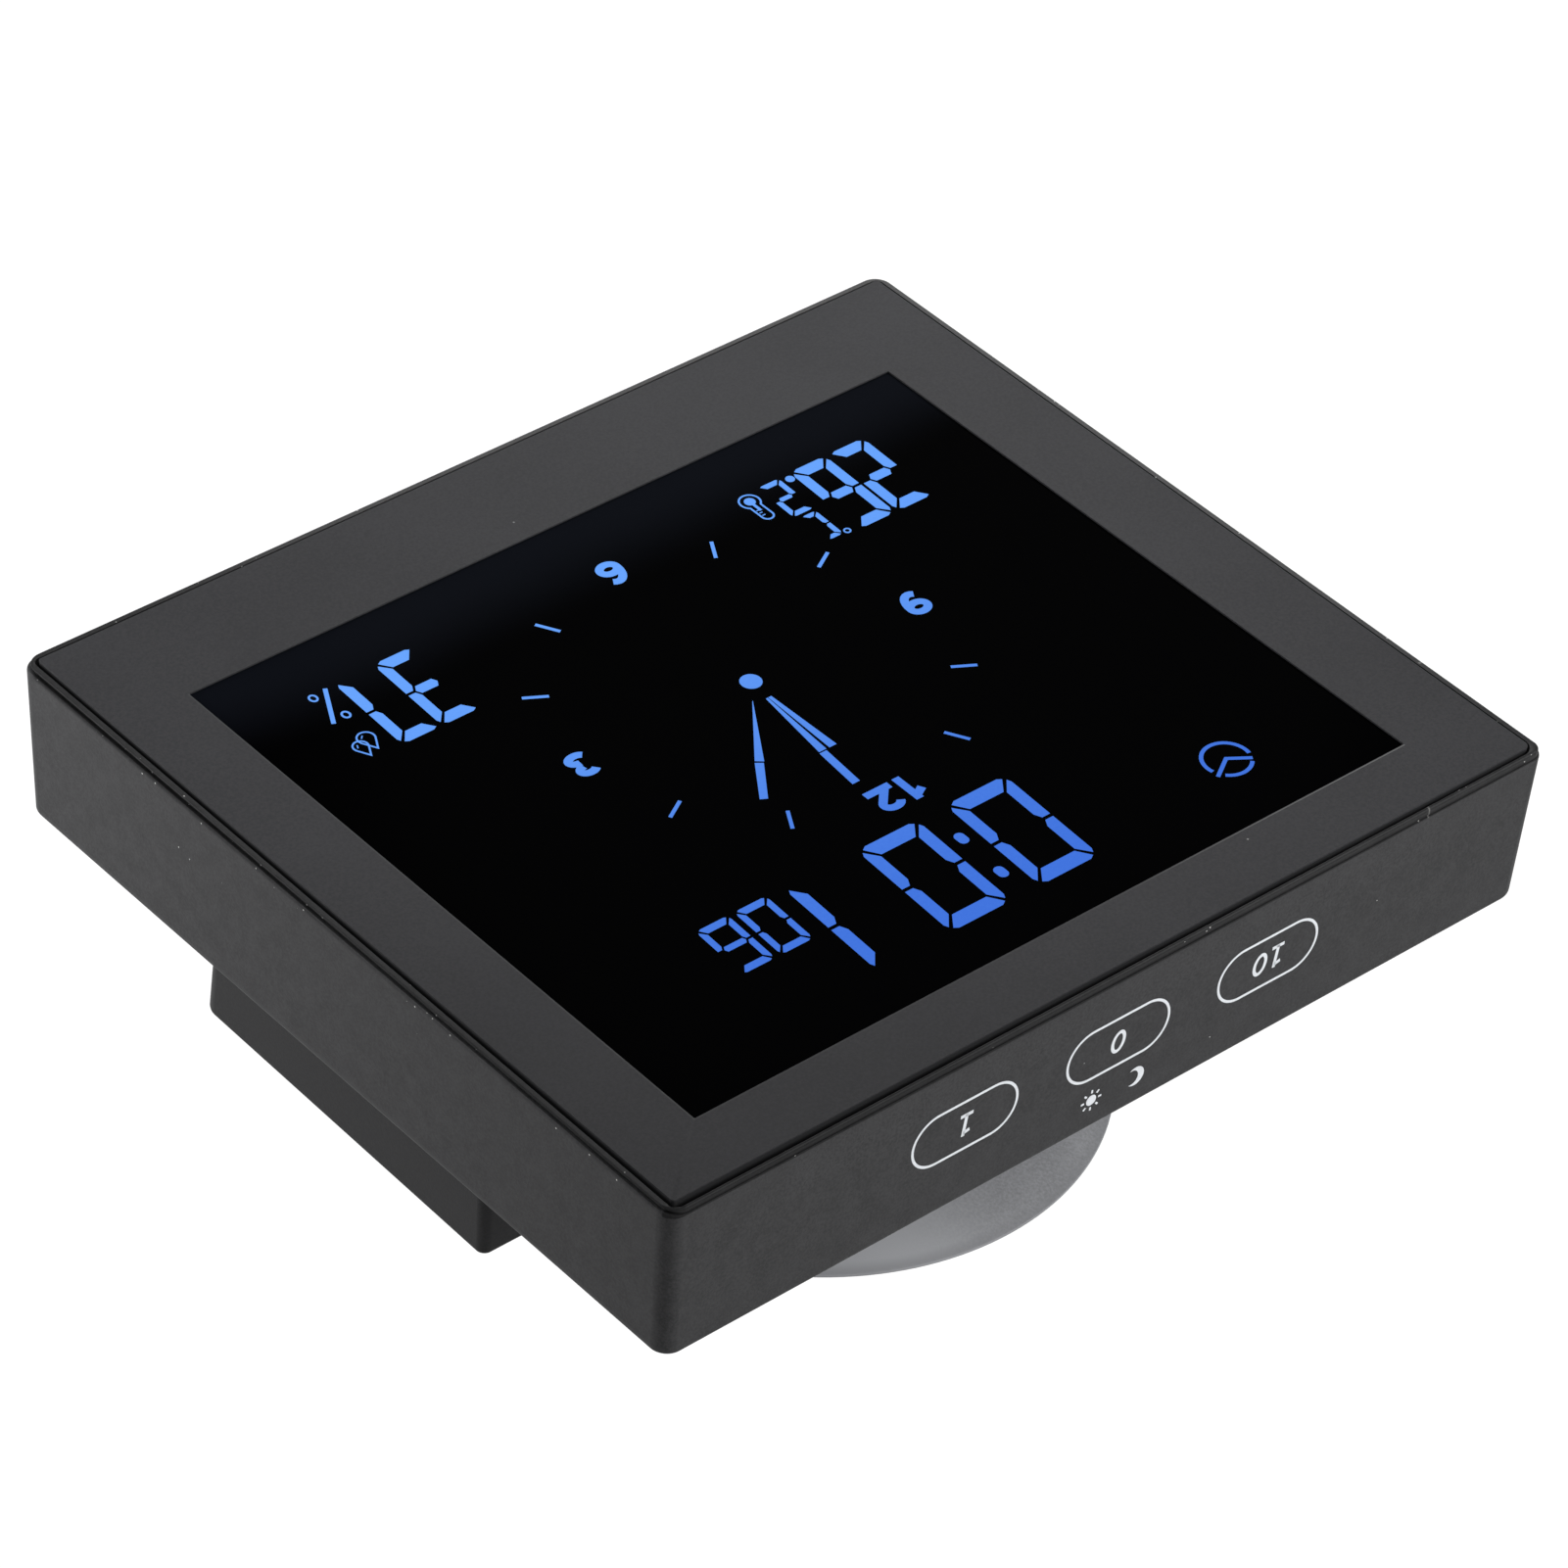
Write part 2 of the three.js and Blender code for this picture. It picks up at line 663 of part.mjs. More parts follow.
// Insulated lead from the tray to the board, bent once sideways on its way
function buildLead(direction) {
  const zLow = trayFloorFrontZ + slipGap;
  const zHigh = boardBackZ - slipGap;
  const straight = 2 * leadRadius;
  const path = new THREE.CatmullRomCurve3([
    new THREE.Vector3(0, 0, zLow),
    new THREE.Vector3(0, 0, zLow + straight),
    new THREE.Vector3(direction * leadOffset, 0, zHigh - straight),
    new THREE.Vector3(direction * leadOffset, 0, zHigh),
  ]);
  const sides = 8;
  const circle = new THREE.EllipseCurve(0, 0, leadRadius, leadRadius);
  const section = new THREE.Shape(circle.getPoints(sides).slice(0, sides));
  return new THREE.ExtrudeGeometry(section, { steps: 12, bevelEnabled: false, extrudePath: path });
}

function buildCarrier() {
  const ledPockets = [guide.xLow - slipGap, guide.xHigh + slipGap].map((edge) => {
    const reach = Math.sign(edge) * (ledThickness + 2 * slipGap);
    return block({
      xLow: Math.min(edge - Math.sign(edge) * cutMargin, edge + reach),
      xHigh: Math.max(edge - Math.sign(edge) * cutMargin, edge + reach),
      yLow: windowMiddle - ledLength / 2 - slipGap,
      yHigh: windowMiddle + ledLength / 2 + slipGap,
    }, carrierFloorZ, lcdBackZ);
  });
  return cutBy(plate(carrier, cavityCornerRadius, carrierBackZ, lensBackZ - seatGap), [
    block(grown(guide, slipGap), carrierFloorZ, lensBackZ + cutMargin),
    block(grown(lcd, slipGap), lcdBackZ - seatGap, lensBackZ + cutMargin),
    block(grown(zebra, slipGap), carrierBackZ - cutMargin, lensBackZ + cutMargin),
    ...ledPockets,
  ]);
}

function buildLcd() {
  return joined([
    block(lcd, lcdStepZ, lcdFrontZ),
    block({ ...lcd, yLow: lcd.yLow + lcdContactStep }, lcdBackZ, lcdStepZ + lcdGlassThickness / 2),
  ]);
}

// Door plate flush with the pod's face, with a runner on each side and a ribbed thumb grip
function buildDoor() {
  const leaf = { ...grown(doorOpening, -slipGap), yLow: podLowerEdge };
  const runners = { ...grown(doorGroove, -slipGap), yLow: podLowerEdge + podRootWall };
  const grips = Array.from({ length: doorGripCount }, (unused, groove) => {
    const y = podLowerEdge + 2 * doorGripPitch + groove * doorGripPitch;
    return block({
      xLow: -doorGripWidth / 2, xHigh: doorGripWidth / 2,
      yLow: y - doorGripGroove / 2, yHigh: y + doorGripGroove / 2,
    }, podFaceZ - cutMargin, podFaceZ + doorGripDepth);
  });
  const solid = joined([
    block(leaf, podFaceZ, doorInnerZ),
    block(runners, doorInnerZ - doorFlangeThickness, doorInnerZ),
  ]);
  return cutBy(solid, grips);
}

// Cup about its own axis: flat rim at Z = 0, shallow hollow, dome, shoulder and neck
function buildCup() {
  const neckTop = podInnerZ + slipGap;
  const shoulderTop = podFaceZ - seatGap;
  const shoulderBack = shoulderTop - cupShoulderThickness;
  const boreRadius = plugStemRadius + boreGap;
  const boreFloor = neckTop - plugStemLength - boreGap;
  const hollowEdge = cupRadius - cupRimFlat;
  const hollow = [];
  const hollowSteps = 6;
  for (let step = 0; step <= hollowSteps; step += 1) {
    const radius = hollowEdge * step / hollowSteps;
    hollow.push([radius, cupHollow * (1 - (radius / hollowEdge) ** 2)]);
  }
  return turned([
    ...hollow,
    [cupRadius - cupEdgeRound, 0], [cupRadius, cupEdgeRound],
    [cupRadius, cupRimThickness - cupEdgeRound], [cupRadius - cupEdgeRound, cupRimThickness],
    [cupLipRadius, cupLipHeight],
    [(cupLipRadius + cupDomeRadius) / 2, (cupLipHeight + cupDomeHeight) / 2 - cupDish],
    [cupDomeRadius, cupDomeHeight],
    [cupShoulderRadius, shoulderBack - cupShoulderStep], [cupShoulderRadius, shoulderTop],
    [cupNeckRadius, shoulderTop], [cupNeckRadius, neckTop],
    [boreRadius, neckTop], [boreRadius, boreFloor], [0, boreFloor],
  ], cupSides);
}

function buildPlug() {
  const seat = podInnerZ + slipGap + seatGap;
  return turned([
    [0, seat - plugStemLength], [plugStemRadius, seat - plugStemLength], [plugStemRadius, seat],
    [plugRadius, seat], [plugRadius, seat + plugThickness - plugBevel],
    [plugRadius - plugBevel, seat + plugThickness], [0, seat + plugThickness],
  ]);
}

// Shell, front panel and display module
addPiece(bodyGroup, 'case_shell', buildCase(), finishes.caseGrey);
addPiece(bodyGroup, 'rear_cover', buildRearCover(), finishes.caseGrey);
addPiece(bodyGroup, 'cover_seal',
  plate(coverPlate, rearCornerRadius - slipGap, sealBackZ, sealBackZ + sealThickness,
    grown(coverPlate, -sealWidth), rearCornerRadius - slipGap - sealWidth), finishes.seal);
addPiece(bodyGroup, 'display_lens',
  plate(panel, panelCornerRadius, lensBackZ, lensFrontZ), finishes.displayBlack);
addPiece(bodyGroup, 'bezel_film',
  plate(panel, panelCornerRadius, lensFrontZ + seatGap, panelFrontZ, printedWindow, windowCornerRadius),
  finishes.bezelGrey);
addPiece(bodyGroup, 'lens_gasket',
  plate(grown(panel, -slipGap), panelCornerRadius - slipGap, gasketBackZ, gasketBackZ + gasketThickness,
    grown(ledgeOpening, slipGap), cavityCornerRadius + 2 * slipGap), finishes.foam);
addPiece(bodyGroup, 'lcd_cell', buildLcd(), finishes.glass);
addPiece(bodyGroup, 'light_guide', block(guide, guideBackZ, guideFrontZ), finishes.diffuser);
addPiece(bodyGroup, 'lcd_carrier', buildCarrier(), finishes.whitePlastic);
addPiece(bodyGroup, 'zebra_strip', block(zebra, boardFrontZ + seatGap, lcdStepZ - seatGap),
  finishes.seal);
[['left', -1], ['right', 1]].forEach(([side, sign]) => {
  const ledX = sign * (guide.xHigh + 2 * slipGap + ledThickness / 2);
  addPiece(bodyGroup, `backlight_led_${side}`,
    new THREE.BoxGeometry(ledThickness, ledLength, ledHeight), finishes.whitePlastic,
    [ledX, windowMiddle, carrierFloorZ + seatGap + ledHeight / 2]);
});

// Main board with what it carries on its rear face
const mountZ = boardBackZ - seatGap;
const boardHoles = fourPlaces(boardScrewX, boardScrewY).map(([x, y]) => (
  rod(x, y, boardScrewShankRadius + boreGap, boardBackZ - cutMargin, boardFrontZ + cutMargin, screwSides)));
addPiece(bodyGroup, 'main_board', cutBy(block(board, boardBackZ, boardFrontZ), boardHoles), finishes.board);
addPiece(bodyGroup, 'controller_chip', new THREE.BoxGeometry(chipSize, chipSize, chipThickness),
  finishes.chip, [0, upperZoneY, mountZ - chipThickness / 2]);
addPiece(bodyGroup, 'crystal',
  rod(0, 0, crystalRadius, -crystalLength / 2, crystalLength / 2, screwSides), finishes.steel,
  [chipSize + crystalRadius, upperZoneY, mountZ - crystalRadius], [Math.PI / 2, 0, 0]);
addPiece(bodyGroup, 'capacitor', rod(0, 0, capacitorRadius, -capacitorHeight, 0), finishes.chip,
  [-chipSize - capacitorRadius, upperZoneY, mountZ]);
addPiece(bodyGroup, 'buzzer', rod(0, 0, buzzerRadius, -buzzerHeight, 0), finishes.chip,
  [...buzzerPlace, mountZ]);
addPiece(bodyGroup, 'climate_sensor', new THREE.BoxGeometry(sensorSize, sensorSize, sensorThickness),
  finishes.whitePlastic, [...sensorPlace, mountZ - sensorThickness / 2]);

// Key board and its pads behind the upper wall
const padY = cavity.yHigh - seatGap - keyPadThickness / 2;
const keyBoardY = padY - keyPadThickness / 2 - seatGap - keyBoardThickness / 2;
const keyBoardWidth = 2 * (keyPitch + keyBoardEnd) + keyPadWidth;
addPiece(bodyGroup, 'key_board',
  new THREE.BoxGeometry(keyBoardWidth, keyBoardThickness, keyBoardHeight), finishes.board,
  [keyShift, keyBoardY, keyZ]);
['left', 'middle', 'right'].forEach((place, index) => {
  addPiece(bodyGroup, `key_pad_${place}`,
    new THREE.BoxGeometry(keyPadWidth, keyPadThickness, keyPadHeight), finishes.foam,
    [keyShift + (index - 1) * keyPitch, padY, keyZ]);
});

// Ribbon from the key board's inner face to the main board's rear face
function buildRibbon() {
  const keyFaceY = keyBoardY - keyBoardThickness / 2 - seatGap;
  const lowZ = Math.max(keyZ - keyBoardHeight / 2, shoulderZ) + ribbonThickness;
  const outline = new THREE.Shape([
    new THREE.Vector2(keyFaceY, lowZ + 2 * ribbonThickness),
    new THREE.Vector2(keyFaceY - ribbonThickness, lowZ + 2 * ribbonThickness),
    new THREE.Vector2(keyFaceY - ribbonThickness, lowZ + ribbonThickness),
    new THREE.Vector2(board.yHigh - ribbonReach + ribbonThickness, lowZ + ribbonThickness),
    new THREE.Vector2(board.yHigh - ribbonReach + ribbonThickness, mountZ),
    new THREE.Vector2(board.yHigh - ribbonReach, mountZ),
    new THREE.Vector2(board.yHigh - ribbonReach, lowZ),
    new THREE.Vector2(keyFaceY, lowZ),
  ]);
  return new THREE.ExtrudeGeometry(outline, { depth: ribbonWidth, bevelEnabled: false })
    .translate(0, 0, -ribbonWidth / 2)
    .applyMatrix4(new THREE.Matrix4().makeBasis(
      new THREE.Vector3(0, 1, 0), new THREE.Vector3(0, 0, 1), new THREE.Vector3(1, 0, 0)));
}

addPiece(bodyGroup, 'key_ribbon', buildRibbon(), finishes.foam);

// Cells, springs and contacts; the nubs of the two rows point opposite ways
addPiece(bodyGroup, 'battery_tray', buildTray(), finishes.caseGrey);
const cellGeometry = buildCell();
const springGeometry = buildSpring();
const contactGeometry = contactPlate();
let cellNumber = 0;
cellRows.forEach((y, row) => {
  const nubSign = row === 0 ? 1 : -1;
  const turn = [0, 0, row === 0 ? 0 : Math.PI];
  [-1, 1].forEach((column) => {
    cellNumber += 1;
    const middle = column * (trayRib + compartmentLength) / 2;
    const springFace = middle - nubSign * (compartmentLength / 2 - contactThickness - slipGap / 2);
    const contactFace = middle + nubSign * (compartmentLength / 2 - contactThickness - slipGap / 2);
    const cellMiddle = contactFace - nubSign * (slipGap / 2 + cellLength / 2);
    addPiece(bodyGroup, `cell_${cellNumber}`, cellGeometry, finishes.cellSleeve,
      [cellMiddle, y, cellZ], turn);
    addPiece(bodyGroup, `cell_spring_${cellNumber}`, springGeometry, finishes.springSteel,
      [springFace, y, cellZ], turn);
    addPiece(bodyGroup, `cell_contact_${cellNumber}`, contactGeometry, finishes.steel,
      [contactFace, y, cellZ], [0, 0, turn[2] + Math.PI]);
  });
});
const leads = [['positive', 1, finishes.leadRed], ['negative', -1, finishes.leadBlack]];
leads.forEach(([pole, sign, material]) => {
  addPiece(bodyGroup, `battery_lead_${pole}`, buildLead(-sign), material,
    [sign * (bay.xHigh - leadOffset), cellRows[1], 0]);
});

// Fasteners
const caseScrew = buildScrew(
  caseScrewHeadRadius, caseScrewHeadHeight, caseScrewShankRadius, caseScrewLength);
const boardScrew = buildScrew(
  boardScrewHeadRadius, boardScrewHeadHeight, boardScrewShankRadius, boardScrewLength);
const trayScrew = buildScrew(trayScrewHeadRadius, trayScrewHeadHeight, trayScrewShankRadius,
  trayScrewLength + flangeFrontZ - flangeBackZ);
fourPlaces(postCentre.x, postCentre.y).forEach(([x, y], index) => {
  addPiece(bodyGroup, `case_screw_${index + 1}`, caseScrew, finishes.steel, [x, y, caseScrewSeatZ]);
});
fourPlaces(boardScrewX, boardScrewY).forEach(([x, y], index) => {
  addPiece(bodyGroup, `board_screw_${index + 1}`, boardScrew, finishes.steel, [x, y, boardBackZ - seatGap]);
});
trayScrewPlaces().forEach(([x, y], index) => {
  addPiece(bodyGroup, `tray_screw_${index + 1}`, trayScrew, finishes.steel,
    [x, y, flangeFrontZ + seatGap], [Math.PI, 0, 0]);
});

// Door and suction cup, the two pieces that move
addPiece(doorGroup, 'battery_door', buildDoor(), finishes.caseGrey);
addPiece(cupGroup, 'suction_cup', buildCup(), finishes.cupRubber);
addPiece(cupGroup, 'cup_plug', buildPlug(), finishes.plugGrey);

export default clock;
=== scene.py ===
"""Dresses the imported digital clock: smooth housings, a lit display, printed keys and small parts.

The clock lies on its suction cup with the display up, +X towards three o'clock and +Y towards
twelve. Sizes are in millimetres, and a mesh is turned to metres when it is made.
"""

from __future__ import annotations

import json
import logging
import math
from contextlib import contextmanager
from dataclasses import dataclass, field
from enum import Enum
from typing import Callable, Iterable, Iterator, Mapping, Sequence

import bmesh
import bpy
from mathutils import Matrix, Vector

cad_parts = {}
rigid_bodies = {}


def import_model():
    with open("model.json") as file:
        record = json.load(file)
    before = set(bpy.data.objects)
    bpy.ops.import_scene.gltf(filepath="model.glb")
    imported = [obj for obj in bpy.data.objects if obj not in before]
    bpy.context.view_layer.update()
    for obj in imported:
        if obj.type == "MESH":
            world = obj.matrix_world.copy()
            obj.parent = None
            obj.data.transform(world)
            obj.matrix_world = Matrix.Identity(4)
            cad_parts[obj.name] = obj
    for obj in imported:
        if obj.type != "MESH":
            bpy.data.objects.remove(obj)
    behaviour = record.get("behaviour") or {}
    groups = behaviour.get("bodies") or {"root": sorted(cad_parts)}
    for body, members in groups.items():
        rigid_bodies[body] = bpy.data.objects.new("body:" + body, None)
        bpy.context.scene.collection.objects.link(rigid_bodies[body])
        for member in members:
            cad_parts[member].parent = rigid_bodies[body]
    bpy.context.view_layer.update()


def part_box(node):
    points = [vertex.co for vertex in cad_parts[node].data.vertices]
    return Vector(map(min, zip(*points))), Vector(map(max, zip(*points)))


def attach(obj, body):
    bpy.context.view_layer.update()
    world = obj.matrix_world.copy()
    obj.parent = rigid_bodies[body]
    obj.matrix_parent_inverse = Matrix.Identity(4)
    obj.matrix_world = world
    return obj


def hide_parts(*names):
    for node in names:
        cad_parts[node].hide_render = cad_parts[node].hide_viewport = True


LOG = logging.getLogger("clock")

MM = 0.001
MERGE_MM = 0.001
POLE_MM = 1e-4
NODE_MERGE_MM = 0.004
CREASE = math.radians(32)

Given = Mapping[str | int, object] | None
Mesh = bpy.types.Mesh
Socket = bpy.types.NodeSocket
Flat = tuple[float, float]
Point = tuple[float, float, float]
Level = tuple[float, float, float, float]
Colour = tuple[float, float, float]
BLACK: Colour = (0.0, 0.0, 0.0)


class Carrier(Enum):
    """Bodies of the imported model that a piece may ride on."""

    CLOCK = "clock_body"
    DOOR = "battery_door"
    CUP = "suction_cup"


class Slot(Enum):
    """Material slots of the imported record."""

    CASE = "case_plastic"
    BEZEL = "bezel_print"
    WINDOW = "display_window"
    SEAL = "seal_rubber"
    GLASS = "display_glass"
    GUIDE = "light_guide"
    WHITE = "white_plastic"
    BOARD = "board"
    BLACK = "black_part"
    STEEL = "steel"
    FOAM = "foam"
    SLEEVE = "cell_sleeve"
    RED = "lead_red"
    DARK = "lead_black"
    CUP = "cup_rubber"
    PLUG = "plug_plastic"


class Carve(Enum):
    """What a cutting shape does to the form that it meets."""

    CUT = "DIFFERENCE"
    JOIN = "UNION"


class Bar(Enum):
    """Bars of a seven-bar figure, each with the figures that it is lit in."""

    TOP = "02367C"
    MIDDLE = "236"
    BOTTOM = "0236C"
    UPPER_LEFT = "06C"
    UPPER_RIGHT = "01237"
    LOWER_LEFT = "026C"
    LOWER_RIGHT = "01367"


def linear(red: int, green: int, blue: int) -> Colour:
    """Turns an 8-bit display colour into linear light."""
    parts = [part / 255 for part in (red, green, blue)]
    return tuple(p / 12.92 if p <= 0.04045 else ((p + 0.055) / 1.055) ** 2.4 for p in parts)


@dataclass(frozen=True)
class Rect:
    """An upright rectangle in plan."""

    x_low: float
    x_high: float
    y_low: float
    y_high: float

    @classmethod
    def of_node(cls, node: str) -> Rect:
        """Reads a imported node's plan, in millimetres."""
        low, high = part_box(node)
        return cls(low.x / MM, high.x / MM, low.y / MM, high.y / MM)

    def grown(self, by: float, upper: float | None = None) -> Rect:
        """Moves each side outwards, the upper one by its own distance where one is given."""
        top = by if upper is None else upper
        return Rect(self.x_low - by, self.x_high + by, self.y_low - by, self.y_high + top)

    @property
    def centre(self) -> Flat:
        """Middle of the rectangle."""
        return (self.x_low + self.x_high) / 2, (self.y_low + self.y_high) / 2

    def rounded(self, radius: float, steps: int = 12, lower: float | None = None,
                left: float = 0.0) -> list[Flat]:
        """Draws the outline with round corners, anticlockwise.

        Args:
            radius: Corner radius.
            steps: Segments in each corner.
            lower: Radius of the two lower corners, where it differs.
            left: How much rounder the upper left corner is.

        Returns:
            Points of the closed outline.
        """
        lower = radius if lower is None else lower
        corners = (
            (radius, self.x_high, self.y_high, -1, -1),
            (radius + left, self.x_low, self.y_high, 1, -1),
            (lower, self.x_low, self.y_low, 1, 1), (lower, self.x_high, self.y_low, -1, 1))
        points = []
        for quarter, (round_by, x, y, side, way) in enumerate(corners):
            for step in range(steps + 1):
                angle = (quarter + step / steps) * math.pi / 2
                points.append((x + round_by * (side + math.cos(angle)),
                               y + round_by * (way + math.sin(angle))))
        return points


# The opening in the printed border, and the field in which the lit shapes are placed.
WINDOW = Rect(-47.95, 49.28, -38.25, 44.64)
SCREEN = Rect(-47.95, 49.2, -38.25, 44.52)


def limited(share: float) -> float:
    """Keeps a share between 0 and 1."""
    return min(1.0, max(0.0, share))


def raised(outline: Iterable[Flat], z: float) -> list[Point]:
    """Lifts a flat outline to a level."""
    return [(x, y, z) for x, y in outline]


def disc(x: float, y: float, radius: float, steps: int = 32, squash: float = 1.0) -> list[Flat]:
    """Draws a circle, or an upright oval whose squash is its height over its width."""
    angles = [2 * math.pi * step / steps for step in range(steps)]
    return [(x + radius * math.cos(a), y + radius * squash * math.sin(a)) for a in angles]


def arc(x: float, y: float, half: Flat, start: float, end: float, steps: int = 24) -> list[Flat]:
    """Gives points on an oval about a centre, between two angles in degrees."""
    turns = [math.radians(start + (end - start) * step / steps) for step in range(steps + 1)]
    return [(x + half[0] * math.cos(turn), y + half[1] * math.sin(turn)) for turn in turns]


def ribbon(path: Sequence[Flat], width: float, closed: bool = False) -> list[list[Flat]]:
    """Widens a line into a stroke.

    Args:
        path: Points of the line.
        width: Width of the stroke.
        closed: Whether the line comes back to its start.

    Returns:
        The left and the right edge, point by point.
    """
    count = len(path)
    left, right = [], []
    for index, (x, y) in enumerate(path):
        before = path[(index - 1) % count] if closed or index else path[0]
        after = path[(index + 1) % count] if closed or index + 1 < count else path[-1]
        first = Vector((x - before[0], y - before[1]))
        second = Vector((after[0] - x, after[1] - y))
        first, second = (first if first.length else second), (second if second.length else first)
        first, second = first.normalized(), second.normalized()
        normal = Vector((-(first.y + second.y), first.x + second.x)).normalized()
        reach = width / 2 / max(0.4, normal.dot(Vector((-first.y, first.x))))
        left.append((x + normal.x * reach, y + normal.y * reach))
        right.append((x - normal.x * reach, y - normal.y * reach))
    return [left, right]


class Form:
    """Closed shapes in millimetres, gathered before they become one mesh."""

    def __init__(self) -> None:
        """Starts empty."""
        self.points: list[Point] = []
        self.faces: list[list[int]] = []

    def stack(self, rings: Sequence[Sequence[Point]], looped: bool = False) -> Form:
        """Joins rings of equal length in order.

        Args:
            rings: The rings, each a list of points.
            looped: Whether the last ring joins the first; otherwise both ends are closed.

        Returns:
            This form.
        """
        start, count, total = len(self.points), len(rings[0]), len(rings)
        for ring in rings:
            self.points.extend(ring)
        for level in range(total if looped else total - 1):
            low = start + level * count
            high = start + (level + 1) % total * count
            for side in range(count):
                after = (side + 1) % count
                self.faces.append([low + side, low + after, high + after, high + side])
        if not looped:
            last = start + (total - 1) * count
            self.faces.append([start + side for side in reversed(range(count))])
            self.faces.append([last + side for side in range(count)])
        return self

    def prism(self, outline: Sequence[Flat], z_low: float, z_high: float) -> Form:
        """Adds an upright prism on an outline."""
        return self.stack([raised(outline, z_low), raised(outline, z_high)])

    def block(self, rect: Rect, z_low: float, z_high: float) -> Form:
        """Adds a plain block."""
        corners = [(rect.x_high, rect.y_high), (rect.x_low, rect.y_high),
                   (rect.x_low, rect.y_low), (rect.x_high, rect.y_low)]
        return self.prism(corners, z_low, z_high)

    def pillow(self, rect: Rect, radius: float, z_low: float, z_high: float, bevel: float,
               left: float = 0.0) -> Form:
        """Adds a plate with rounded corners and bevelled edges; left is as in Rect.rounded."""
        steps = edge_steps(bevel, z_low, 1) + edge_steps(bevel, z_high, -1)[::-1]
        return self.stack([
            raised(rect.grown(-inset).rounded(max(radius - inset, 0.02), left=left), z)
            for inset, z in steps])

    def turned(self, profile: Sequence[Flat], sides: int = 96, x: float = 0, y: float = 0) -> Form:
        """Adds a shape turned about an upright axis, from the radius and level of each point."""
        return self.stack([raised(disc(x, y, max(radius, POLE_MM), sides), z)
                           for radius, z in profile])

    def stroke(self, path: Sequence[Flat], width: float, z_low: float, z_high: float,
               closed: bool = False) -> Form:
        """Adds a raised stroke along a line, which comes back to its start if it is closed."""
        left, right = ribbon(path, width, closed)
        if closed:
            return self.stack([raised(left, z_low), raised(right, z_low),
                               raised(right, z_high), raised(left, z_high)], looped=True)
        return self.prism(left + right[::-1], z_low, z_high)

    def bent(self, place: Callable[[Point], Point]) -> Form:
        """Moves every point by a rule, such as a fold onto a wall."""
        self.points = [place(point) for point in self.points]
        return self

    def mesh(self, name: str) -> Mesh:
        """Makes the mesh in metres, with merged points and outward faces."""
        mesh = bpy.data.meshes.new(name)
        mesh.from_pydata([[c * MM for c in point] for point in self.points], [], self.faces)
        tidy_mesh(mesh)
        return mesh


def edge_steps(radius: float, z: float, way: int, steps: int = 4) -> list[Flat]:
    """Gives inset and level along a rounded edge; way is 1 where its wall rises from z."""
    turns = [step / steps * math.pi / 2 for step in range(steps + 1)]
    return [(radius * (1 - math.sin(t)), z + way * radius * (1 - math.cos(t))) for t in turns]


@contextmanager
def opened(mesh: Mesh) -> Iterator[bmesh.types.BMesh]:
    """Opens a mesh for changes and writes them back."""
    work = bmesh.new()
    work.from_mesh(mesh)
    yield work
    work.to_mesh(mesh)
    work.free()


def tidy_mesh(mesh: Mesh) -> None:
    """Merges doubled points and turns every face outwards."""
    with opened(mesh) as work:
        bmesh.ops.remove_doubles(work, verts=work.verts, dist=MERGE_MM * MM)
        bmesh.ops.dissolve_degenerate(work, dist=MERGE_MM * MM, edges=work.edges)
        bmesh.ops.recalc_face_normals(work, faces=work.faces)


def evaluated_mesh(holder: bpy.types.Object, name: str) -> Mesh:
    """Takes the mesh that an object's modifiers give, and removes the object."""
    bpy.context.view_layer.update()
    graph = bpy.context.evaluated_depsgraph_get()
    mesh = bpy.data.meshes.new_from_object(holder.evaluated_get(graph), depsgraph=graph)
    mesh.name = name
    bpy.data.objects.remove(holder)
    return mesh


def held(data: bpy.types.ID) -> bpy.types.Object:
    """Puts a mesh, a lamp or a camera on an object in the scene."""
    holder = bpy.data.objects.new(data.name, data)
    bpy.context.scene.collection.objects.link(holder)
    return holder


def carved(base: Mesh, tools: Sequence[tuple[Carve, Form | Mesh]]) -> Mesh:
    """Cuts shapes out of a mesh or joins them to it, one after another."""
    holder = held(base)
    helpers = []
    for number, (action, tool) in enumerate(tools):
        helper = held(tool.mesh(f"tool_{number}") if isinstance(tool, Form) else tool)
        helpers.append(helper)
        change = holder.modifiers.new(action.name, "BOOLEAN")
        change.operation = action.value
        change.solver = "MANIFOLD"
        change.object = helper
    mesh = evaluated_mesh(holder, base.name)
    for helper in helpers:
        bpy.data.objects.remove(helper)
    tidy_mesh(mesh)
    return mesh


class Nodes:
    """One node tree, with the single method that adds nodes to it."""

    def __init__(self, tree: bpy.types.NodeTree) -> None:
        """Holds the tree."""
        self.tree = tree

    def add(self, kind: str, settings: Given = None, inputs: Given = None) -> bpy.types.Node:
        """Adds a node, sets it and then feeds it.

        Args:
            kind: The node's type.
            settings: Its own settings.
            inputs: Values, sockets or expressions for its inputs.

        Returns:
            The node.
        """
        node = self.tree.nodes.new(kind)
        for key, setting in (settings or {}).items():
            setattr(node, key, setting)
        for key, given in (inputs or {}).items():
            self.feed(node.inputs[key], given)
        return node

    def feed(self, target: Socket, given: object) -> None:
        """Feeds an input with a plain value, a socket or an expression."""
        source = given.socket if isinstance(given, Value) else given
        if isinstance(source, Socket):
            self.tree.links.new(source, target)
        else:
            target.default_value = source

    def value(self, kind: str, settings: Given = None, inputs: Given = None) -> Value:
        """Adds a node and gives its first output as an expression."""
        return Value(self, self.add(kind, settings, inputs).outputs[0])


